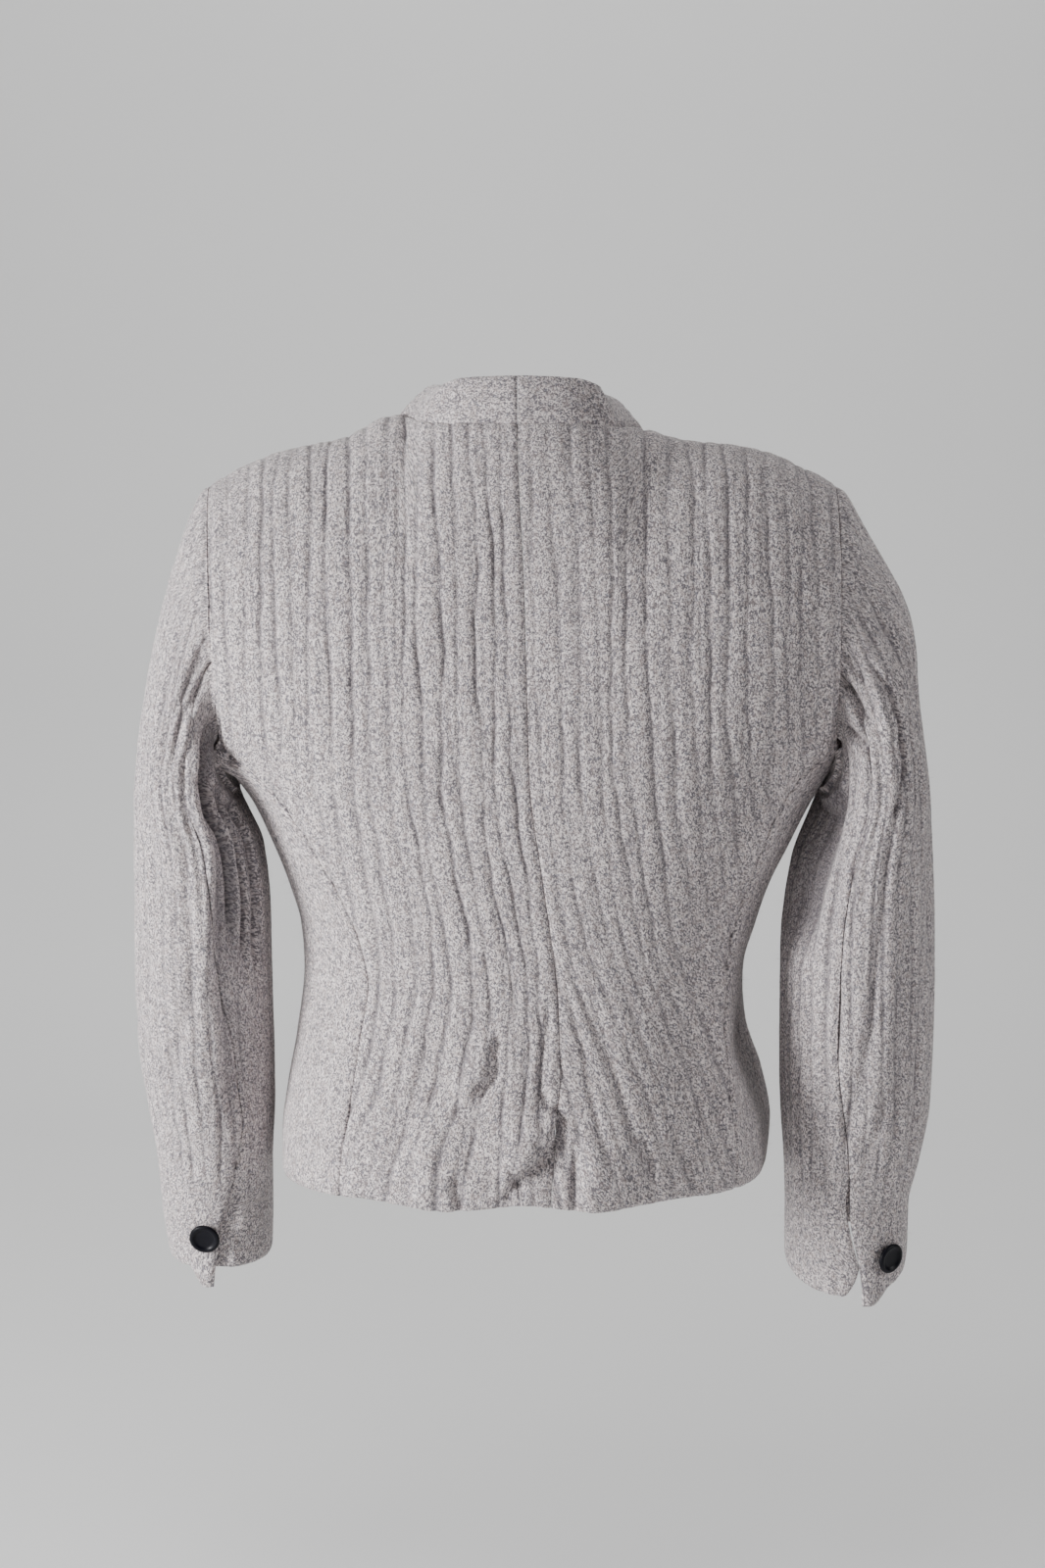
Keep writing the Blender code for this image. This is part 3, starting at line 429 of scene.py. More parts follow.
def facing(along, across, outward):
    """Unit normals of a surface from its two tangents, on the outward side."""
    normals = unit(np.cross(along, across))
    turned = np.sum(normals * outward, axis=-1, keepdims=True) < 0
    return np.where(turned, -normals, normals)


def half_shape(angle, z):
    """Half width, depth and squareness of the ring on the side of this angle."""
    half = np.where(np.sin(angle) >= 0, read(TORSO, "left", z), read(TORSO, "right", z))
    behind = np.cos(angle) >= 0
    depth = np.where(behind, read(TORSO, "back", z) - MIDDLE, MIDDLE - read(TORSO, "front", z))
    square = np.where(behind, read(TORSO, "square_back", z), read(TORSO, "square_front", z))
    return half, depth, square


def folds(angle, z):
    """How far the largest folds stand out from the ring."""
    out = np.zeros(np.broadcast(angle, z).shape)
    for at, height, spread, tall, reach in zip(*FOLDS.values()):
        turn = (np.degrees(angle) - at) / spread
        rise = (z - height) / tall
        out = out + reach * np.exp(-turn * turn - rise * rise)
    return out


def ring(angle, z):
    """A point of the body at an angle round it, 0 at the back and towards the left, and a height."""
    half, depth, square = half_shape(angle, z)
    across, behind = np.sin(angle), np.cos(angle)
    reach = ((np.abs(across) / half) ** square + (np.abs(behind) / depth) ** square) ** (-1 / square)
    x, y = reach * across, reach * behind
    slope_x = np.sign(x) * np.abs(x / half) ** (square - 1) / half
    slope_y = np.sign(y) * np.abs(y / depth) ** (square - 1) / depth
    length = np.hypot(slope_x, slope_y)
    out = folds(angle, z)
    return np.stack([x + out * slope_x / length, MIDDLE + y + out * slope_y / length, z + 0 * x], axis=-1)


def angle_at(kind, across, z):
    """The angle round the ring of the point this far across, on the back or the front."""
    toward = 0.0 if kind == BACK else np.pi
    half, depth, square = half_shape(np.where(across >= 0, 1, -1) * np.abs(toward - 0.1), z)
    inside = np.clip(1 - np.abs(across / half) ** square, 1e-9, None)
    behind = depth * inside ** (1 / square)
    return np.arctan2(across, behind if kind == BACK else -behind)


def climbed(h):
    """How far up the climb from the yoke to the shoulder, from 0 to 1."""
    return np.clip((h - YOKE) / CLIMB, 0.0, 1.0)


def drift(h):
    return read(DRIFT, "x", np.minimum(h, YOKE))


def edge_from(kind, side, h):
    """How far the side edge of the back or the front is from its own middle line."""
    column = "front" if kind == FRONT else "back_left" if side == LEFT else "back_right"
    return read(EDGES, column, np.minimum(h, YOKE))


def edge_across(kind, side, h, gap=0.0):
    """The place across of that edge, moved towards the side by a gap."""
    middle = drift(h) if kind == BACK else 0.0
    return middle + side * (edge_from(kind, side, h) + gap)


def body(kind, across, h):
    """The body's surface: rings up to the yoke, and above it the climb to the neck and shoulder line."""
    low = np.minimum(h, YOKE)
    start = ring(angle_at(kind, across, low), low)
    climb = climbed(h)[..., None]
    side = np.where(across >= 0, 1.0, -1.0)
    half = np.where(side > 0, edge_across(kind, LEFT, YOKE), -edge_across(kind, RIGHT, YOKE))
    place = np.abs(across) / half * SHOULDER
    tops = TOPS[kind]
    shift = -DRIFT["x"][-1] * 2.5 * (1 - ease(place / 0.1)) if kind == BACK else 0.0
    near_neck = bell((place - NECK_DIP_PLACE) / NECK_DIP_SPREAD)
    dip = np.where(side > 0, NECK_DIP[LEFT], NECK_DIP[RIGHT]) * near_neck
    end_x = side * read(tops, "x", place) + shift
    end = np.stack([end_x, read(tops, "y", place), read(tops, "z", place) - dip], -1)
    step = 0.002
    upward = (start - ring(angle_at(kind, across, low - step), low - step)) / step
    leave = upward * read(tops, "pull", place)[..., None]
    arrive = np.stack([0 * place, read(tops, "lean_y", place), read(tops, "lean_z", place)], -1)
    return np.where(climb > 0, hermite(climb, start, leave, end, arrive), start)


def body_normals(kind, across, h):
    step = 0.0006
    along = body(kind, across, h + step) - body(kind, across, h - step)
    sideways = body(kind, across + step, h) - body(kind, across - step, h)
    outward = np.array([0.0, 1.0 if kind == BACK else -1.0, 0.3])
    return facing(along, sideways, outward)


def crinkle(name, across, along):
    """The cloth's crinkles: narrow broken valleys that wander down it, with soft swells between them.

    Gives how far the cloth stands out, and how much painted shade each point gets down in the grooves, from 0
    to 1.
    """
    strength, seed = CRINKLES[name]
    draw = np.random.default_rng(seed)
    out = np.zeros(np.broadcast(across, along).shape)
    valley_shade = np.zeros(out.shape)
    for near, far, deep, faint in RIBS:
        place = across.min() - draw.uniform(0.0, far)
        while place < across.max() + far:
            sway = draw.uniform(*RIB_SWAY)
            turns = 2 * np.pi / draw.uniform(*RIB_TURN)
            breaks = 2 * np.pi / draw.uniform(*RIB_BREAK)
            phase = draw.uniform(0, 2 * np.pi, 5)
            line = place + sum(sway[i] * np.sin(turns[i] * along + phase[i]) for i in range(3))
            long_break = np.sin(breaks[0] * along + phase[3])
            short_break = np.sin(breaks[1] * along + phase[4])
            shown = ease(0.5 + 0.55 * long_break + 0.4 * short_break)
            depth = draw.uniform(*RIB_DEPTH) * (faint + (1 - faint) * shown)
            groove = bell((across - line) / draw.uniform(*RIB_GROOVE))
            swell = bell((across - line) / RIB_SWELL)
            out = out - deep * depth * (groove + 0.75 * swell)
            # Painted shade along each groove; at the end it is made stronger on the more crinkled pieces.
            valley_shade = valley_shade + 0.8 * deep / RIBS[0][2] * depth * groove
            place += draw.uniform(near, far)
    return CRINKLE_LIFT + strength * (out + RIB_MEAN), np.clip(valley_shade * min(1.5, strength), 0.0, 1.0)


def rib_place(side, from_seam, h):
    """Where across the back's cloth a point lies: below the waist the ribs slant out from the centre seam."""
    below = WAIST + 0.012 - h
    below = 0.5 * (below + np.hypot(below, 0.025))
    slant = RIB_SLANT[side] * (1.0 if side == RIGHT else ease(from_seam / 0.13))
    return from_seam - slant * below


def own_grain(name, across, along):
    """Places in the weave for one piece, apart from those of every other piece."""
    _, seed = CRINKLES[name]
    return np.stack([across + 0.73 * seed + 0 * along, along + 0.41 * seed + 0 * across], axis=-1)


def creases(rows, first, second, scale=1.0):
    """Soft troughs and ridges between the ends that each row gives, in these two coordinates.

    Each has its own width on the side where the first coordinate is lower and on the side where it is higher.
    """
    out = np.zeros(np.broadcast(first, second).shape)
    for a_top, b_top, a_foot, b_foot, low_width, high_width, reach in zip(*rows.values()):
        run_a, run_b = (a_foot - a_top) * scale, b_foot - b_top
        from_a, from_b = (first - a_top) * scale, second - b_top
        length = np.hypot(run_a, run_b)
        part = (from_a * run_a + from_b * run_b) / length**2
        away = (from_a * run_b - from_b * run_a) / length
        away = away * np.sign(run_b) + 0.18 * low_width * np.sin(9 * part + 40 * a_top)
        width = np.where(away > 0, high_width, low_width)
        taper = ease((part + 0.175) / 0.35) * ease((1.175 - part) / 0.35)
        out = out + reach * taper * bell(away / width)
    return out


def shaded(valley_shade, crease, shade=0.16, deepest=0.0060):
    """The painted shade of the crinkles, with more painted shade added down in the creases."""
    return np.clip(valley_shade + shade * np.clip(-crease / deepest, 0.0, 1.0), 0.0, 1.0)


def rolled(*distances):
    """The cloth turned in beside its seams and edges, by the distance from each of them."""
    roll = 0.0
    for distance in distances:
        roll = roll + SEAM_ROLL * bell(np.clip(distance, 0, None) / SEAM_ROLL_WIDTH)
    return roll


def from_centre(distance):
    """A distance from the centre seam, stretched for that seam's wider and shallower roll."""
    return 0.55 * distance + 0.0006


def steps_over(length, step):
    """An even number of steps over a length."""
    return 2 * round(length / step / 2)


def shares(length, step):
    """Places from 0 to 1 at those steps."""
    return np.linspace(0.0, 1.0, steps_over(length, step) + 1)


def run_over(points, axis):
    """The length run over a grid of points, along one of its ways, up to each of them."""
    steps = np.diff(points, axis=axis, prepend=points.take([0], axis))
    return np.cumsum(np.linalg.norm(steps, axis=-1), axis=axis)


def shell(name, points, normals, relief, valley_shade, grain):
    """A piece of cloth: its crinkled outside, its smoother inside and the edge between them."""
    outer = points + normals * relief[..., None]
    inner = (points + normals * (lowest_near(relief) - WALL)[..., None])[::2, ::2]
    columns, rows = outer.shape[:2]
    in_columns, in_rows = inner.shape[:2]
    outside = np.arange(columns * rows).reshape(columns, rows)
    inside = columns * rows + np.arange(in_columns * in_rows).reshape(in_columns, in_rows)
    faces = quads(outside) + [face[::-1] for face in quads(inside)]
    for fine, plain in (
        (outside[:, 0], inside[:, 0]), (outside[-1, :], inside[-1, :]),
        (outside[::-1, -1], inside[::-1, -1]), (outside[0, ::-1], inside[0, ::-1]),
    ):
        for i in range(len(plain) - 1):
            faces.append((fine[2 * i + 2], fine[2 * i + 1], fine[2 * i], plain[i], plain[i + 1]))
    mesh = bpy.data.meshes.new(name)
    vertices = np.concatenate([outer.reshape(-1, 3), inner.reshape(-1, 3)])
    mesh.from_pydata(vertices.tolist(), [], [tuple(int(i) for i in face) for face in faces])
    # The painted shade of the crinkles and creases goes to the wool as a point attribute; the inside gets
    # none.
    deep = np.concatenate([valley_shade.ravel(), np.zeros(inside.size)])
    mesh.attributes.new("valley_shade", "FLOAT", "POINT").data.foreach_set("value", deep.astype(np.float32))
    flat = np.concatenate([grain.reshape(-1, 2), grain[::2, ::2].reshape(-1, 2)])
    corners = np.zeros(len(mesh.loops), np.int32)
    mesh.loops.foreach_get("vertex_index", corners)
    mesh.uv_layers.new(name="cloth").data.foreach_set("uv", flat[corners].astype(np.float32).ravel())
    bm = bmesh.new()
    bm.from_mesh(mesh)
    bmesh.ops.recalc_face_normals(bm, faces=bm.faces[:])
    bm.to_mesh(mesh)
    bm.free()
    mesh.shade_smooth()
    mesh.set_sharp_from_angle(angle=np.radians(70))
    return mesh


def lowest_near(relief):
    """The lowest relief within two steps of each point, and never above the plain form."""
    for axis in (0, 1):
        padded = np.concatenate([relief.take([0, 0], axis), relief, relief.take([-1, -1], axis)], axis)
        count = relief.shape[axis]
        relief = np.min([padded.take(range(i, i + count), axis) for i in range(5)], axis=0)
    return np.minimum(relief, 0.0)


def quads(numbers):
    """The faces between neighbouring columns and rows of a grid of numbers."""
    corners = np.stack([numbers[:-1, :-1], numbers[1:, :-1], numbers[1:, 1:], numbers[:-1, 1:]], axis=-1)
    return [tuple(face) for face in corners.reshape(-1, 4)]


def cut_size(points):
    """Width, length and area that a piece is cut to, measured over its smooth form."""
    across = np.linalg.norm(np.diff(points, axis=0), axis=-1)
    along = np.linalg.norm(np.diff(points, axis=1), axis=-1)
    first = np.diff(points, axis=0)[:, :-1]
    second = np.diff(points, axis=1)[:-1, :]
    area = np.linalg.norm(np.cross(first, second), axis=-1).sum()
    width, length = across.sum(axis=0).max(), along.sum(axis=1).max()
    return (float(width), float(length)), float(min(area, width * length))


def add_piece(name, data):
    """A new object in the scene."""
    piece = bpy.data.objects.new(name, data)
    bpy.context.scene.collection.objects.link(piece)
    return piece


def add_cloth(name, mesh, points):
    """A cloth piece in the frame: it rides on the jacket, stands for its node and states its cut."""
    piece = add_piece(name, mesh)
    mesh.materials.append(wool(name))
    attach(piece, "root")
    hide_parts(name.removesuffix("_cloth"))
    flat, area = cut_size(points)
    CUTS[name] = (flat, area)


def finish_cloth(node, points, normals, relief, valley_shade, grain):
    """The mesh of a cloth piece, put in the frame, with its outside kept for the loose fibres."""
    name = f"{node}_cloth"
    mesh = shell(name, points, normals, relief, valley_shade, grain)
    SURFACES[node] = (points + normals * relief[..., None], normals)
    add_cloth(name, mesh, points)


def body_heights():
    """Rows up the body and over the shoulder, closer where the cloth turns."""
    low = np.linspace(HEM, YOKE, steps_over(YOKE - HEM, ALONG_STEP) + 1)
    high = YOKE + CLIMB * np.linspace(0.0, CLIMB_END, steps_over(SHOULDER_LENGTH, ALONG_STEP) + 1)[1:]
    return np.concatenate([low, high])[None, :]


def body_edges(h):
    """How far a height is, over the cloth, from the shoulder seam and from the hem."""
    return (1 - climbed(h)) * SHOULDER_LENGTH, (h - HEM) * HEM_NARROWER


def body_length(h):
    """A height with the further length of cloth that the climb over the shoulder takes."""
    return h + climbed(h) * 0.045


def back_panel(side):
    node = f"back_{WORDS[side]}"
    h = body_heights()
    edge = edge_from(BACK, side, h)
    from_seam = SEAM / 2 + (edge - SEAM) * shares(BACK_WIDTH, BACK_STEP)[:, None]
    across = drift(h) + side * from_seam
    h = h + 0 * across
    points = body(BACK, across, h)
    normals = body_normals(BACK, across, h)
    rib = rib_place(side, from_seam, h)
    relief, valley_shade = crinkle(node, rib, h)
    crease = creases(BACK_CREASES, across, np.where(h > YOKE, points[..., 2], h))
    crease = crease * ease((edge - from_seam) / 0.014)
    relief = relief + crease - rolled(edge - from_seam, from_centre(from_seam), *body_edges(h))
    for place, spread, drop in zip(*HEM_WAVES.values()):
        points[..., 2] -= drop * bell((across - place) / spread) * (1 - ease((h - HEM) / 0.05))
    grain = own_grain(node, rib if side == RIGHT else from_seam, body_length(h))
    finish_cloth(node, points, normals, relief, shaded(valley_shade, crease), grain)


def neck_edge(h):
    """How far the front's own edge stands from the middle line: the lap, and above the break the V."""
    return np.where(h <= BREAK, -FRONT_LAP, read(NECKLINE, "across", h))


def under(points, side):
    """The left front's edge tucked in under the right one."""
    x, z = points[..., 0], points[..., 2]
    past_edge, below_neck = ease((0.052 - x) / 0.034), ease((-0.09 - z) / 0.06)
    tuck = UNDERLAP * past_edge * below_neck * (side == LEFT)
    return points + np.stack([0 * tuck, tuck, 0 * tuck], -1)


def front_panel(side):
    node = f"front_{WORDS[side]}"
    h = body_heights()
    edge = edge_from(FRONT, side, h)
    near = neck_edge(h)
    _, from_hem = body_edges(h)
    reach = near + SEAM / 2 + (edge - near - SEAM) * shares(FRONT_WIDTH, ACROSS_STEP)[:, None]
    from_edge = reach + FRONT_LAP
    corner = np.clip(HEM_CORNER - from_edge, 0.0, None)
    rise = HEM_CORNER - np.sqrt(HEM_CORNER**2 - corner**2)
    h = h + rise * np.clip(1 - (h - HEM) / 0.1, 0.0, 1.0)
    points = body(FRONT, side * reach, h)
    normals = body_normals(FRONT, side * reach, h)
    relief, valley_shade = crinkle(node, from_edge, h)
    crease = creases(FRONT_CREASES, side * reach, np.where(h > YOKE, points[..., 2], h))
    relief = relief + crease
    if side == LEFT:
        relief = relief * ease((reach - 0.026) / 0.02)
    from_shoulder, _ = body_edges(h)
    relief = relief - rolled(edge - reach, reach - near, from_shoulder, from_hem)
    grain = own_grain(node, from_edge, body_length(h))
    finish_cloth(node, under(points, side), normals, relief, shaded(valley_shade, crease), grain)


def underarm(along):
    """The height of the side panel's top edge, from the back (0) to the front (1)."""
    return UNDERARM - UNDERARM_DIP * np.clip(np.sin(np.pi * along), 0.0, None) ** 0.8


def side_points(side, along, z):
    """The side panel's surface and normals between the back's edge (0) and the front's edge (1)."""
    def point(part, height):
        first = angle_at(BACK, edge_across(BACK, side, height, SEAM / 2), height)
        last = angle_at(FRONT, edge_across(FRONT, side, height, SEAM / 2), height)
        return ring(first + (last - first) * part, height)

    step = 0.0006
    points = point(along, z)
    upward = point(along, z + step) - point(along, z - step)
    sideways = point(along + 0.003, z) - point(along - 0.003, z)
    return points, facing(upward, sideways, np.array([side, 0.0, 0.0]))


def side_panel(side):
    node = f"side_{WORDS[side]}"
    along = shares(SIDE_WIDTH, ACROSS_STEP)[:, None]
    share = shares(UNDERARM - HEM, ALONG_STEP)[None, :]
    top = underarm(along)
    z = HEM + share * (top - HEM)
    points, normals = side_points(side, along + 0 * z, z)
    wide = np.linalg.norm(np.diff(points, axis=0), axis=-1).sum(axis=0)[None, :]
    relief, valley_shade = crinkle(node, along * wide, z)
    if side == LEFT:
        bunch = ((along - 0.10) / 0.09) ** 2 + ((top - z - 0.004) / 0.009) ** 2
        relief = relief + 0.0065 * np.exp(-bunch)
    relief = relief - rolled(along * wide, (1 - along) * wide, top - z, (z - HEM) * HEM_NARROWER)
    grain = own_grain(node, along * wide, z)
    finish_cloth(node, points, normals, relief, valley_shade, grain)


def armhole(side):
    """The armhole's edge as a loop from the shoulder down the back, under the arm and up the front.

    Gives its points, the way the sleeve leaves each of them, and the angle that each has round the arm.
    """
    top = YOKE + CLIMB * CLIMB_END
    heights = np.concatenate([np.linspace(UNDERARM, YOKE, 25), np.linspace(YOKE, top, 61)[1:]])
    step = 0.002
    points, leave = [], []
    for kind, order in ((BACK, heights[::-1]), (FRONT, heights)):
        across = edge_across(kind, side, order)
        at = body(kind, across, order)
        outward = unit(at - body(kind, across - side * step, order))
        downward = unit(body(kind, across, order - step) - at)
        turn = np.radians(40) * ease((YOKE + CLIMB - order) / (YOKE + CLIMB - UNDERARM))[:, None]
        points.append(at)
        leave.append(unit(np.cos(turn) * outward + np.sin(turn) * downward))
    along = np.linspace(0.0, 1.0, 61)[1:-1]
    below, _ = side_points(side, along, underarm(along))
    share = along[:, None]
    between = unit(leave[0][-1] * (1 - share) + leave[1][0] * share)
    points = np.concatenate([points[0], below, points[1]])
    leave = np.concatenate([leave[0], between, leave[1]])
    lengths = np.concatenate([[0.0], np.cumsum(np.linalg.norm(np.diff(points, axis=0), axis=1))])
    lowest = lengths[np.argmin(points[:, 2])]
    angle = np.interp(lengths, [0.0, lowest, lengths[-1]], [0.0, np.pi, 2 * np.pi])
    low = ease(1 - np.abs(angle - np.pi) / np.radians(75))[:, None]
    leave = unit(leave * (1 - low) + low * unit(np.array([side * 0.5, 0.0, -0.85])))
    return points, leave, angle


def round_loop(values, angle, at):
    """A loop's values at angles round it."""
    at = np.mod(at, 2 * np.pi)
    return np.stack([np.interp(at, angle, values[:, i]) for i in range(3)], axis=-1)


def arm_ring(side, angle, z):
    """A point of the sleeve below its top: 0 is its outer side and a quarter turn is its back."""
    arm = ARMS[side]
    outer, inner = read(arm, "outer", z), read(arm, "inner", z)
    x = (outer + inner) / 2 + (outer - inner) / 2 * np.cos(angle)
    y = read(arm, "middle", z) + read(arm, "depth", z) * np.sin(angle)
    tilt = CUFF_TILT[side] * np.sin(angle) * ease((-0.42 - z) / 0.12)
    return np.stack([side * x, y, z - tilt], axis=-1)


def sleeve(side, angle, way, hole):
    """The sleeve's surface: from the armhole (way 0) over the cap to its top ring (1) and the cuff (2)."""
    points, leave, round_arm = hole
    start = round_loop(points, round_arm, angle)
    low = ease(1 - np.abs(np.mod(angle, 2 * np.pi) - np.pi) / 1.4)[..., None]
    start = start + 3 * SEAM * (1 + 2 * low) * round_loop(leave, round_arm, angle)
    end = arm_ring(side, angle, SLEEVE_TOP + 0 * angle)
    step = 0.004
    onward = unit(arm_ring(side, angle, SLEEVE_TOP - step + 0 * angle) - end)
    length = np.linalg.norm(end - start, axis=-1, keepdims=True)
    pull = 0.25 + 0.25 * ease(1 - np.abs(np.mod(angle, 2 * np.pi) - np.pi) / np.pi)[..., None]
    t = np.clip(way, 0.0, 1.0)[..., None]
    cap = hermite(t, start, round_loop(leave, round_arm, angle) * length * pull, end, onward * length)
    from_bump = np.abs(np.mod(angle - CAP_BUMP_ANGLE + np.pi, 2 * np.pi) - np.pi)
    bump = CAP_BUMP[side] * ease(1 - from_bump / CAP_BUMP_SPREAD)
    cap[..., 0] += side * bump * bell((way - CAP_BUMP_WAY) / CAP_BUMP_LENGTH)
    return np.where(way[..., None] < 1, cap, arm_ring(side, angle, arm_height(side, way)))


def sleeve_normals(side, angle, way, hole):
    step = 0.004
    late = np.clip(way + step, 0.0, 2.0)
    early = np.clip(way - step, 0.0, 2.0)
    along = sleeve(side, angle, late, hole) - sleeve(side, angle, early, hole)
    around = sleeve(side, angle + 0.03, way, hole) - sleeve(side, angle - 0.03, way, hole)
    here = sleeve(side, angle, way, hole)
    middle = sum(sleeve(side, angle + quarter * np.pi / 2, way, hole) for quarter in range(4)) / 4
    return facing(along, around, here - middle)


def arm_height(side, way):
    """The height of a way down the sleeve, below its top ring."""
    return SLEEVE_TOP + (CUFF[side] - SLEEVE_TOP) * np.clip(way - 1, 0.0, 1.0)


def hind_angle(side, way):
    """The angle of the seam down the back of the sleeve."""
    return np.radians(read(ARMS[side], "hind", arm_height(side, way)))


def above_cuff(side, way):
    """The height above the cuff's edge, along the arm."""
    return (2 - way) * (SLEEVE_TOP - CUFF[side])


def sleeve_radius(side, way):
    return read(ARMS[side], "depth", arm_height(side, way))


def sleeve_span(side, part, hind, radius, height):
    """The angles where a piece of the sleeve starts and ends: at its seams, and at the vent's lap."""
    gap = SEAM / radius
    if part == "top":
        return FRONT_SEAM_ANGLE + gap, hind - gap
    gape = VENT_GAPE[side] * bell((height - VENT_GAPE_HEIGHT) / VENT_GAPE_LENGTH)
    lap = (VENT_LAP[side] * ease((VENT[side] - 0.018 - height) / 0.012) - gape) / radius
    return hind + gap - lap, FRONT_SEAM_ANGLE + 2 * np.pi - gap


def sleeve_folds(side, part, angle, way, height, down, z):
    """The sleeve's crinkles and creases: calm at the cuff, and held back by how far down from the armhole."""
    node = f"sleeve_{part}_{WORDS[side]}"
    relief, valley_shade = crinkle(node, (angle - FRONT_SEAM_ANGLE) * ARM_RADIUS, -0.25 * way)
    calm = 0.35 + 0.65 * ease((height - 0.02) / 0.09)
    relief, valley_shade = relief * calm, valley_shade * calm
    degrees = np.degrees(angle)
    crease = creases(SLEEVE_CREASES[side], degrees % 360, z, np.radians(ARM_RADIUS))
    # Painted shade down in the creases, much stronger on the under sleeve for the shadow under the arm; it
    # follows the whole crease even where the geometry near the armhole is held back.
    if part == "top":
        valley_shade = shaded(valley_shade, crease, 0.45)
    else:
        free = ease(way / 0.9)
        relief, valley_shade = relief * free, shaded(valley_shade * free, crease, 1.0, 0.0130)
    turned = ease((degrees - 118) / 22)
    deepest = 0.001 + (1 - turned) * 0.6 * down + turned * np.clip(down - 0.024, 0.0, None)
    return relief + np.maximum(crease, -deepest), valley_shade


def sleeve_piece(side, part, hole):
    """The top sleeve, or the under sleeve, with the vent at the cuff."""
    node = f"sleeve_{part}_{WORDS[side]}"
    cap_rows = shares(CAP_LENGTH, ALONG_STEP)[:-1] ** 1.15
    arm_rows = np.linspace(1.0, 2.0, steps_over(SLEEVE_TOP - CUFF[side], ALONG_STEP) + 1)
    way = np.concatenate([cap_rows, arm_rows])[None, :]
    hind, radius, height = hind_angle(side, way), sleeve_radius(side, way), above_cuff(side, way)
    first, last = sleeve_span(side, part, hind, radius, height)
    along = shares(SLEEVE_WIDTH[part], SLEEVE_STEP)[:, None]
    angle = first + (last - first) * along
    way = way + 0 * angle
    from_hind = (angle - hind) * radius
    if part == "under" and side == RIGHT:
        cut = VENT_CORNER_RISE * np.clip(1 - from_hind / VENT_CORNER, 0.0, 1.0) ** 1.4
        way = way - cut * ease((0.045 - height) / 0.045) / (SLEEVE_TOP - CUFF[side])
        angle = angle + hind_angle(side, way) - hind
    points = sleeve(side, angle, way, hole)
    normals = sleeve_normals(side, angle, way, hole)
    down = run_over(points, 1)
    relief, valley_shade = sleeve_folds(side, part, angle, way, height, down, points[..., 2])
    in_vent = ease((VENT[side] - height) / 0.014)
    if part == "top":
        tab = 1 - ease((-from_hind - TAB_FLAT) / (TAB_WIDTH - TAB_FLAT))
        points[..., 2] -= TAB_DROP[side] * tab * ease((0.03 - height) / 0.03)
        near = 1 - ease((-from_hind - 0.02) / 0.01)
    else:
        near = 1 - ease((from_hind - 0.004) / 0.014)
        if side == LEFT:
            points = points - normals * (VENT_STEP * in_vent * near)[..., None]
    relief = relief * (1 - in_vent * near)
    wide = (last - first) * radius
    relief = relief - rolled(along * wide, (1 - along) * wide, 0.6 * down, HEM_NARROWER * height)
    over = run_over(points, 0)
    from_seam = over - over[-1:] if part == "top" else over
    grain = own_grain(node, from_seam, down[:, [len(cap_rows)]] - down)
    finish_cloth(node, points, normals, relief, valley_shade, grain)


def collar_edge(side):
    """The neckline as points with their way round the collar: 0 centre back, 1 neck point, 2 break."""
    top = YOKE + CLIMB * CLIMB_END
    count = steps_over(COLLAR_BEHIND, ACROSS_STEP)
    neck_half = side * edge_across(BACK, side, YOKE) * 0.077 / SHOULDER
    behind = np.linspace(DRIFT["x"][-1] + side * SEAM / 2, side * neck_half, count + 1)
    rows = np.linspace(top, BREAK, steps_over(COLLAR_BEFORE, ALONG_STEP) + 1)
    before = side * neck_edge(rows + 1e-9)
    points = np.concatenate([body(BACK, behind, top + 0 * behind), body(FRONT, before, rows)[1:]])
    toward = unit(body(FRONT, before - side * 0.004, rows) - body(FRONT, before, rows))[1:]
    toward = np.concatenate([np.repeat(toward[:1], count + 1, axis=0), toward])
    place = np.concatenate([np.linspace(0, 1, count + 1), np.linspace(1, 2, len(rows))[1:]])
    return points, toward, place


def softened(values, passes):
    """A run of vectors smoothed along its length, with its ends kept."""
    for _ in range(passes):
        middle = (values[:-2] + 2 * values[1:-1] + values[2:]) / 4
        values = np.concatenate([values[:1], middle, values[-1:]])
    return values


def collar_band(side):
    """Half of the band that stands round the neck and runs down the front to the break."""
    node = f"collar_{WORDS[side]}"
    points, toward, place = collar_edge(side)
    way = softened(np.gradient(points, axis=0), 12)
    way[0] = (side, 0.0, 0.0)
    lean = np.stack([-side * read(COLLAR, "inward", place), read(COLLAR, "lean_y", place),
                     read(COLLAR, "lean_z", place)], axis=-1)
    flat = ease((place - 1.0) / 0.4)[:, None]
    lean = unit(lean) * (1 - flat) + toward * flat
    lean = unit(lean - unit(way) * np.sum(lean * unit(way), axis=-1, keepdims=True))
    outward = facing(way, lean, points - np.array([0.0, 0.0, -0.2]))
    width = read(COLLAR, "width", place)
    rise = shares(COLLAR_HEIGHT, ACROSS_STEP)[None, :, None]
    bow = 0.0012 * np.sin(np.pi * rise) * (1 - flat[:, None])
    high = COLLAR_LOW + (width[:, None, None] + 5 * SEAM - COLLAR_LOW) * rise
    middle = points[:, None] + lean[:, None] * high + outward[:, None] * bow
    normals = np.repeat(outward[:, None], rise.shape[1], axis=1)
    run = np.cumsum(np.linalg.norm(np.gradient(points, axis=0), axis=-1))[:, None]
    up = width[:, None] * rise[..., 0]
    lines = np.sin(2 * np.pi * up / 0.0062 + 2.2 * np.sin(run * 34 + side))
    lines = lines * (0.5 + 0.5 * np.sin(run * 57 + 3 * up / 0.006))
    relief = 0.0003 * lines - rolled(up, width[:, None] - up, from_centre(run))
    relief = relief + 0.0008 * np.sin(run * 70 + 1.3) * np.sin(np.pi * rise[..., 0])
    # Painted shade: a little over the whole band and more down in its lines.
    valley_shade = 0.16 + np.clip(-lines, 0, 1) * 0.40
    grain = own_grain(node, up, run)
    finish_cloth(node, under(middle, side), normals, relief, valley_shade, grain)


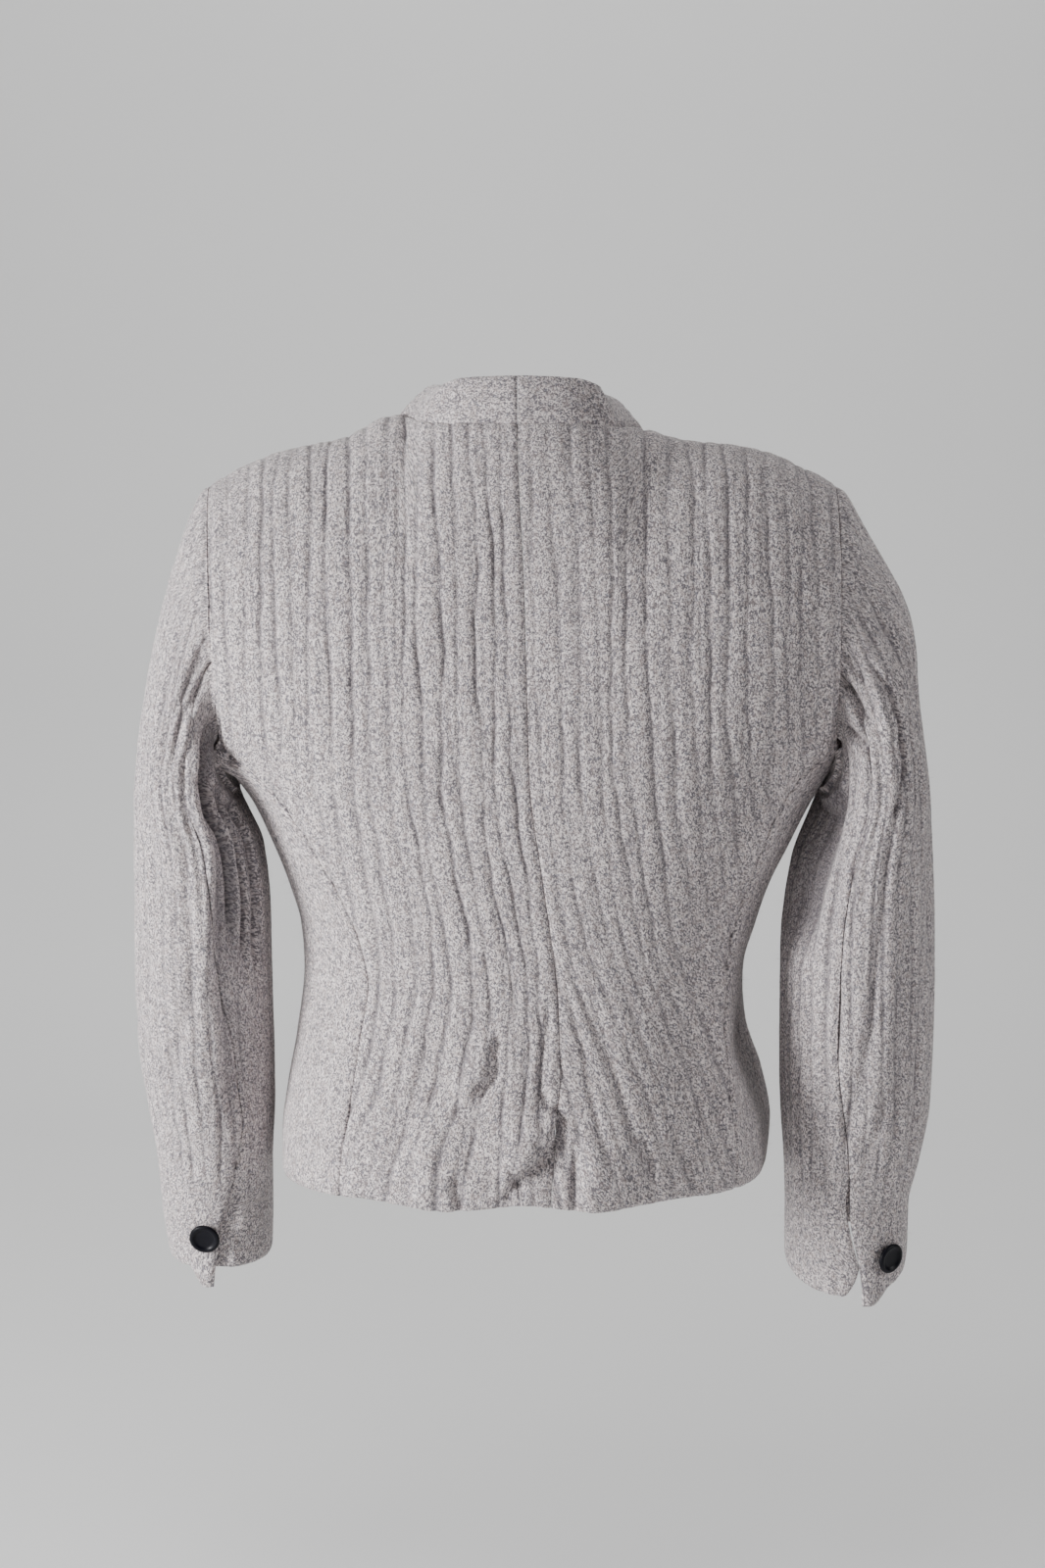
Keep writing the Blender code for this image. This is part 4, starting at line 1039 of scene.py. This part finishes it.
class Shade:
    """A value in a finish's nodes: arithmetic on it adds Math nodes."""

    def __init__(self, finish, socket):
        self.finish, self.socket = finish, socket

    def math(self, operation, first, second):
        return self.finish.node("ShaderNodeMath", {"operation": operation}, {0: first, 1: second})

    def __add__(self, other):
        return self.math("ADD", self, other)

    __radd__ = __add__

    def __mul__(self, other):
        return self.math("MULTIPLY", self, other)

    __rmul__ = __mul__

    def __sub__(self, other):
        return self.math("SUBTRACT", self, other)

    def __rsub__(self, other):
        return self.math("SUBTRACT", other, self)


class Finish:
    """A material under construction."""

    def __init__(self, name):
        self.material = bpy.data.materials.new(name)
        self.material.use_nodes = True
        self.tree = self.material.node_tree
        self.shader = self.tree.nodes["Principled BSDF"]

    def node(self, kind, settings, sockets, output=0):
        """A node of this kind, with its settings first, then the values or links of its sockets."""
        made = self.tree.nodes.new(kind)
        for key, value in settings.items():
            setattr(made, key, value)
        for key, value in sockets.items():
            self.feed(made.inputs[key], value)
        return Shade(self, made.outputs[output])

    def feed(self, socket, value):
        if isinstance(value, Shade):
            self.tree.links.new(value.socket, socket)
        else:
            socket.default_value = value

    def set(self, name, value):
        """A value or a link for a socket of the material's own shader."""
        self.feed(self.shader.inputs[name], value)

    def noise(self, place, scale=1.0, detail=2.0, roughness=0.5, output=0):
        sockets = {"Vector": place, "Scale": scale, "Detail": detail, "Roughness": roughness}
        return self.node("ShaderNodeTexNoise", {}, sockets, output)

    def cells(self, place):
        """A tone for each small cell of the cloth, drawn at random from 0 to 1."""
        settings, sockets = {"voronoi_dimensions": "2D"}, {"Vector": place, "Scale": 1.0}
        drawn = self.node("ShaderNodeTexVoronoi", settings, sockets, "Color")
        return self.node("ShaderNodeSeparateColor", {}, {"Color": drawn})

    def stretched(self, place, across, along):
        sockets = {0: place, 1: (across, along, 1.0)}
        return self.node("ShaderNodeVectorMath", {"operation": "MULTIPLY"}, sockets)

    def shifted(self, place, by, amount):
        """A place moved about by a colour of noise."""
        sockets = {0: by, 1: (amount, amount, 0.0), 2: place}
        return self.node("ShaderNodeVectorMath", {"operation": "MULTIPLY_ADD"}, sockets)

    def between(self, value, low, high):
        """0 below low, 1 above high and smooth between."""
        settings = {"interpolation_type": "SMOOTHSTEP"}
        sockets = {"Value": value, "From Min": low, "From Max": high, "To Min": 0.0, "To Max": 1.0}
        return self.node("ShaderNodeMapRange", settings, sockets)

    def mix(self, factor, first, second):
        """One colour going over into another."""
        return self.node("ShaderNodeMix", {"data_type": "RGBA"}, {0: factor, 6: first, 7: second}, 2)


def wool(name):
    """Napped melange wool: light, middle and dark fibres spun together, with painted shade down in the
    crinkles.
    """
    finish = Finish(f"{name}_wool")
    place = finish.node("ShaderNodeUVMap", {"uv_map": "cloth"}, {})
    valley_shade = finish.node("ShaderNodeAttribute", {"attribute_name": "valley_shade"}, {}, "Fac")
    wander = finish.noise(finish.stretched(place, 700.0, 500.0), detail=1.0, output="Color")
    dashes = finish.cells(finish.shifted(finish.stretched(place, 1750.0, 820.0), wander, 0.8))
    picks = finish.cells(finish.shifted(finish.stretched(place, 1350.0, 1500.0), wander, 0.8))
    clumps = finish.noise(finish.stretched(place, 240.0, 150.0), 1.0, 3.0, 0.55)
    warm = finish.noise(finish.stretched(place, 230.0, 170.0), 1.0, 3.0, 0.6)
    cool = finish.noise(finish.stretched(place, 620.0, 430.0), 1.0, 1.0, 0.5)
    tone = 0.55 * dashes + 0.45 * picks
    tone = 1.75 * tone + 0.12 * clumps - 0.435
    colour = finish.mix(finish.between(tone, 0.18, 0.58), WOOL_DARK, WOOL_MIDDLE)
    colour = finish.mix(finish.between(tone, 0.42, 0.86), colour, WOOL_LIGHT)
    colour = finish.mix(FLECK_TINT * finish.between(warm, 0.46, 0.64), colour, WOOL_WARM)
    colour = finish.mix(FLECK_TINT * finish.between(cool, 0.54, 0.68), colour, WOOL_COOL)
    # Painted shade: the dark wool colour laid over the crinkles and creases by the shade mask.
    colour = finish.mix(VALLEY_SHADE * valley_shade, colour, WOOL_DARK)
    finish.set("Base Color", colour)
    finish.set("Roughness", 0.92 + 0.08 * clumps)
    finish.set("Specular IOR Level", 0.15)
    finish.set("Sheen Weight", 0.28)
    finish.set("Sheen Roughness", 0.45)
    finish.set("Sheen Tint", (0.9, 0.89, 0.88, 1.0))
    height = 0.7 * tone + 0.35 * clumps
    bump = finish.node("ShaderNodeBump", {}, {"Strength": 0.7, "Distance": 0.0007, "Height": height})
    finish.set("Normal", bump)
    return finish.material


def button_plastic(name):
    """Polished near-black navy plastic with faint turning marks, its tone and gloss smudged from place to
    place.
    """
    finish = Finish(f"{name}_plastic")
    place = finish.node("ShaderNodeTexCoord", {}, {}, "Object")
    rings = finish.node("ShaderNodeTexWave", {"wave_type": "RINGS", "rings_direction": "Z"},
                        {"Vector": place, "Scale": 420.0, "Distortion": 1.5, "Detail": 2.0})
    smudge = finish.noise(place, 260.0, 3.0, 0.6)
    colour = finish.mix(smudge, (0.0020, 0.0020, 0.0040, 1.0), (0.0055, 0.0055, 0.0095, 1.0))
    finish.set("Base Color", colour)
    finish.set("Roughness", 0.26 + 0.16 * smudge)
    finish.set("Specular IOR Level", 0.16)
    bump = finish.node("ShaderNodeBump", {}, {"Strength": 0.12, "Distance": 0.0002, "Height": rings})
    finish.set("Normal", bump)
    return finish.material


# The button's outline from the middle of its face over the rim to its underside, in radii and thicknesses.
BUTTON_PROFILE = table("out up", [
    (0, 0.56), (0.3, 0.57), (0.52, 0.6), (0.62, 0.66), (0.69, 0.82), (0.74, 0.95), (0.8, 1),
    (0.87, 0.985), (0.93, 0.92), (0.975, 0.8), (1, 0.64),
    (0.985, 0.4), (0.9, 0.12), (0.8, 0), (0, 0),
])


def button(node, point, normal):
    """A dished button with a rounded rim, turned to face out from its cloth."""
    mesh = bpy.data.meshes.new(f"{node}_turned")
    bm = bmesh.new()
    out = BUTTON_PROFILE["out"] * BUTTON_RADIUS
    up = BUTTON_PROFILE["up"] * BUTTON_THICK
    corners = [bm.verts.new((r, 0.0, z)) for r, z in zip(out, up)]
    edges = [bm.edges.new(pair) for pair in zip(corners[:-1], corners[1:])]
    bmesh.ops.spin(bm, geom=corners + edges, axis=(0, 0, 1), cent=(0, 0, 0), angle=2 * np.pi, steps=64)
    bmesh.ops.remove_doubles(bm, verts=bm.verts[:], dist=1e-6)
    bmesh.ops.recalc_face_normals(bm, faces=bm.faces[:])
    bm.to_mesh(mesh)
    bm.free()
    mesh.shade_smooth()
    mesh.set_sharp_from_angle(angle=np.radians(45))
    piece = add_piece(f"{node}_turned", mesh)
    upright = Vector(normal).to_track_quat("Z", "Y").to_matrix().to_4x4()
    piece.matrix_world = Matrix.Translation(Vector(point) + Vector(normal) * BUTTON_LIFT) @ upright
    mesh.materials.append(button_plastic(node))
    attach(piece, "root")
    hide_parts(node)


def cuff_button(side, hole):
    way = np.array([1 + (CUFF_BUTTON_Z[side] - SLEEVE_TOP) / (CUFF[side] - SLEEVE_TOP)])
    angle = hind_angle(side, way) - BUTTON_FROM_EDGE[side] / sleeve_radius(side, way)
    point = sleeve(side, angle, way, hole)[0]
    button(f"cuff_button_{WORDS[side]}", point, sleeve_normals(side, angle, way, hole)[0])


def front_button():
    across, h = np.array([0.0]), np.array([FRONT_BUTTON_Z])
    button("front_button", body(FRONT, across, h)[0], body_normals(FRONT, across, h)[0])


def nap(node, seed):
    """Loose fibres that stand off one piece of cloth, each a thin bent strand."""
    draw = np.random.default_rng(seed)
    points, normals = SURFACES[node]
    columns, rows = points.shape[:2]
    _, area = CUTS[f"{node}_cloth"]
    count = int(NAP_PER_METRE * area)
    column = draw.integers(2, columns - 2, count)
    row = draw.integers(2, rows - 2, count)
    root = points[column, row] + draw.uniform(-NAP_SCATTER, NAP_SCATTER, (count, 3))
    root = root - normals[column, row] * NAP_ROOT
    stand = normals[column, row] * draw.uniform(0.25, 1.0, (count, 1))
    sweep = unit(draw.normal(size=(count, 3)) + np.array([0.0, 0.0, -0.5]))
    length = draw.uniform(*NAP_LENGTH, (count, 1)) * (0.55 + 0.45 * draw.random((count, 1)) ** 3)
    middle = root + (stand + 0.5 * sweep) * length * 0.5
    tip = root + (stand * 0.8 + 1.1 * sweep) * length
    sideways = unit(np.cross(sweep, normals[column, row])) * NAP_WIDTH / 2
    strand = np.stack([root - sideways, root + sideways, middle - sideways, middle + sideways, tip], axis=1)
    first = 5 * np.arange(count)[:, None]
    faces = (first + np.array([0, 1, 3, 2])).tolist() + (first + np.array([2, 3, 4])).tolist()
    mesh = bpy.data.meshes.new(f"{node}_nap")
    mesh.from_pydata(strand.reshape(-1, 3).tolist(), [], faces)
    mesh.materials.append(loose_fibre(node))
    piece = add_piece(f"{node}_nap", mesh)
    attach(piece, "root")


def loose_fibre(node):
    """Single wool fibres, lighter and darker from place to place."""
    finish = Finish(f"{node}_fibre")
    place = finish.node("ShaderNodeTexCoord", {}, {}, "Object")
    tone = finish.between(finish.noise(place, 900.0, 1.0), 0.35, 0.65)
    finish.set("Base Color", finish.mix(tone, WOOL_MIDDLE, WOOL_LIGHT))
    finish.set("Roughness", 0.8 + 0.1 * tone)
    return finish.material


def room():
    """A pale floor that curves up behind, soft light from the wearer's left, and the camera."""
    profile = [(4.0, 0.0), (FLOOR_END, 0.0)]
    for turn in np.linspace(0.1, np.pi / 2, 16):
        profile.append((FLOOR_END - FLOOR_SWEEP * np.sin(turn), FLOOR_SWEEP - FLOOR_SWEEP * np.cos(turn)))
    profile.append((FLOOR_END - FLOOR_SWEEP, 5.0))
    corners = [(x, y, FLOOR_Z + z) for y, z in profile for x in (-6.0, 6.0)]
    faces = [(2 * i, 2 * i + 1, 2 * i + 3, 2 * i + 2) for i in range(len(profile) - 1)]
    mesh = bpy.data.meshes.new("studio_floor")
    mesh.from_pydata(corners, [], faces)
    mesh.shade_smooth()
    floor = add_piece("studio_floor", mesh)
    finish = Finish("pale_paper")
    place = finish.node("ShaderNodeTexCoord", {}, {}, "Object")
    tone = finish.noise(place, 3.0, 2.0)
    finish.set("Base Color", finish.mix(tone, (0.80, 0.80, 0.80, 1.0), (0.83, 0.83, 0.825, 1.0)))
    finish.set("Roughness", 0.85)
    mesh.materials.append(finish.material)
    for row in LAMPS:
        lamp(*row)
    world = bpy.data.worlds.new("studio")
    bpy.context.scene.world = world
    world.use_nodes = True
    sky = world.node_tree.nodes["Background"].inputs
    sky["Color"].default_value, sky["Strength"].default_value = (0.8, 0.82, 0.85, 1.0), 0.02
    camera = add_piece("camera", bpy.data.cameras.new("camera"))
    camera.location = CAMERA_PLACE
    camera.rotation_euler = (np.radians(CAMERA_TILT), 0.0, np.pi)
    camera.data.sensor_fit = "VERTICAL"
    camera.data.sensor_height = 36.0
    camera.data.lens = CAMERA_LENS
    bpy.context.scene.camera = camera


def lamp(name, place, target, size, power):
    light = bpy.data.lights.new(name, "AREA")
    light.size, light.energy = size, power
    item = add_piece(name, light)
    item.location = place
    item.rotation_euler = (Vector(target) - Vector(place)).to_track_quat("-Z", "Y").to_euler()


def main():
    room()
    for side in (LEFT, RIGHT):
        hole = armhole(side)
        back_panel(side)
        side_panel(side)
        front_panel(side)
        collar_band(side)
        sleeve_piece(side, "top", hole)
        sleeve_piece(side, "under", hole)
        cuff_button(side, hole)
    front_button()
    for seed, node in enumerate(list(SURFACES)):
        nap(node, 100 + seed)


main()
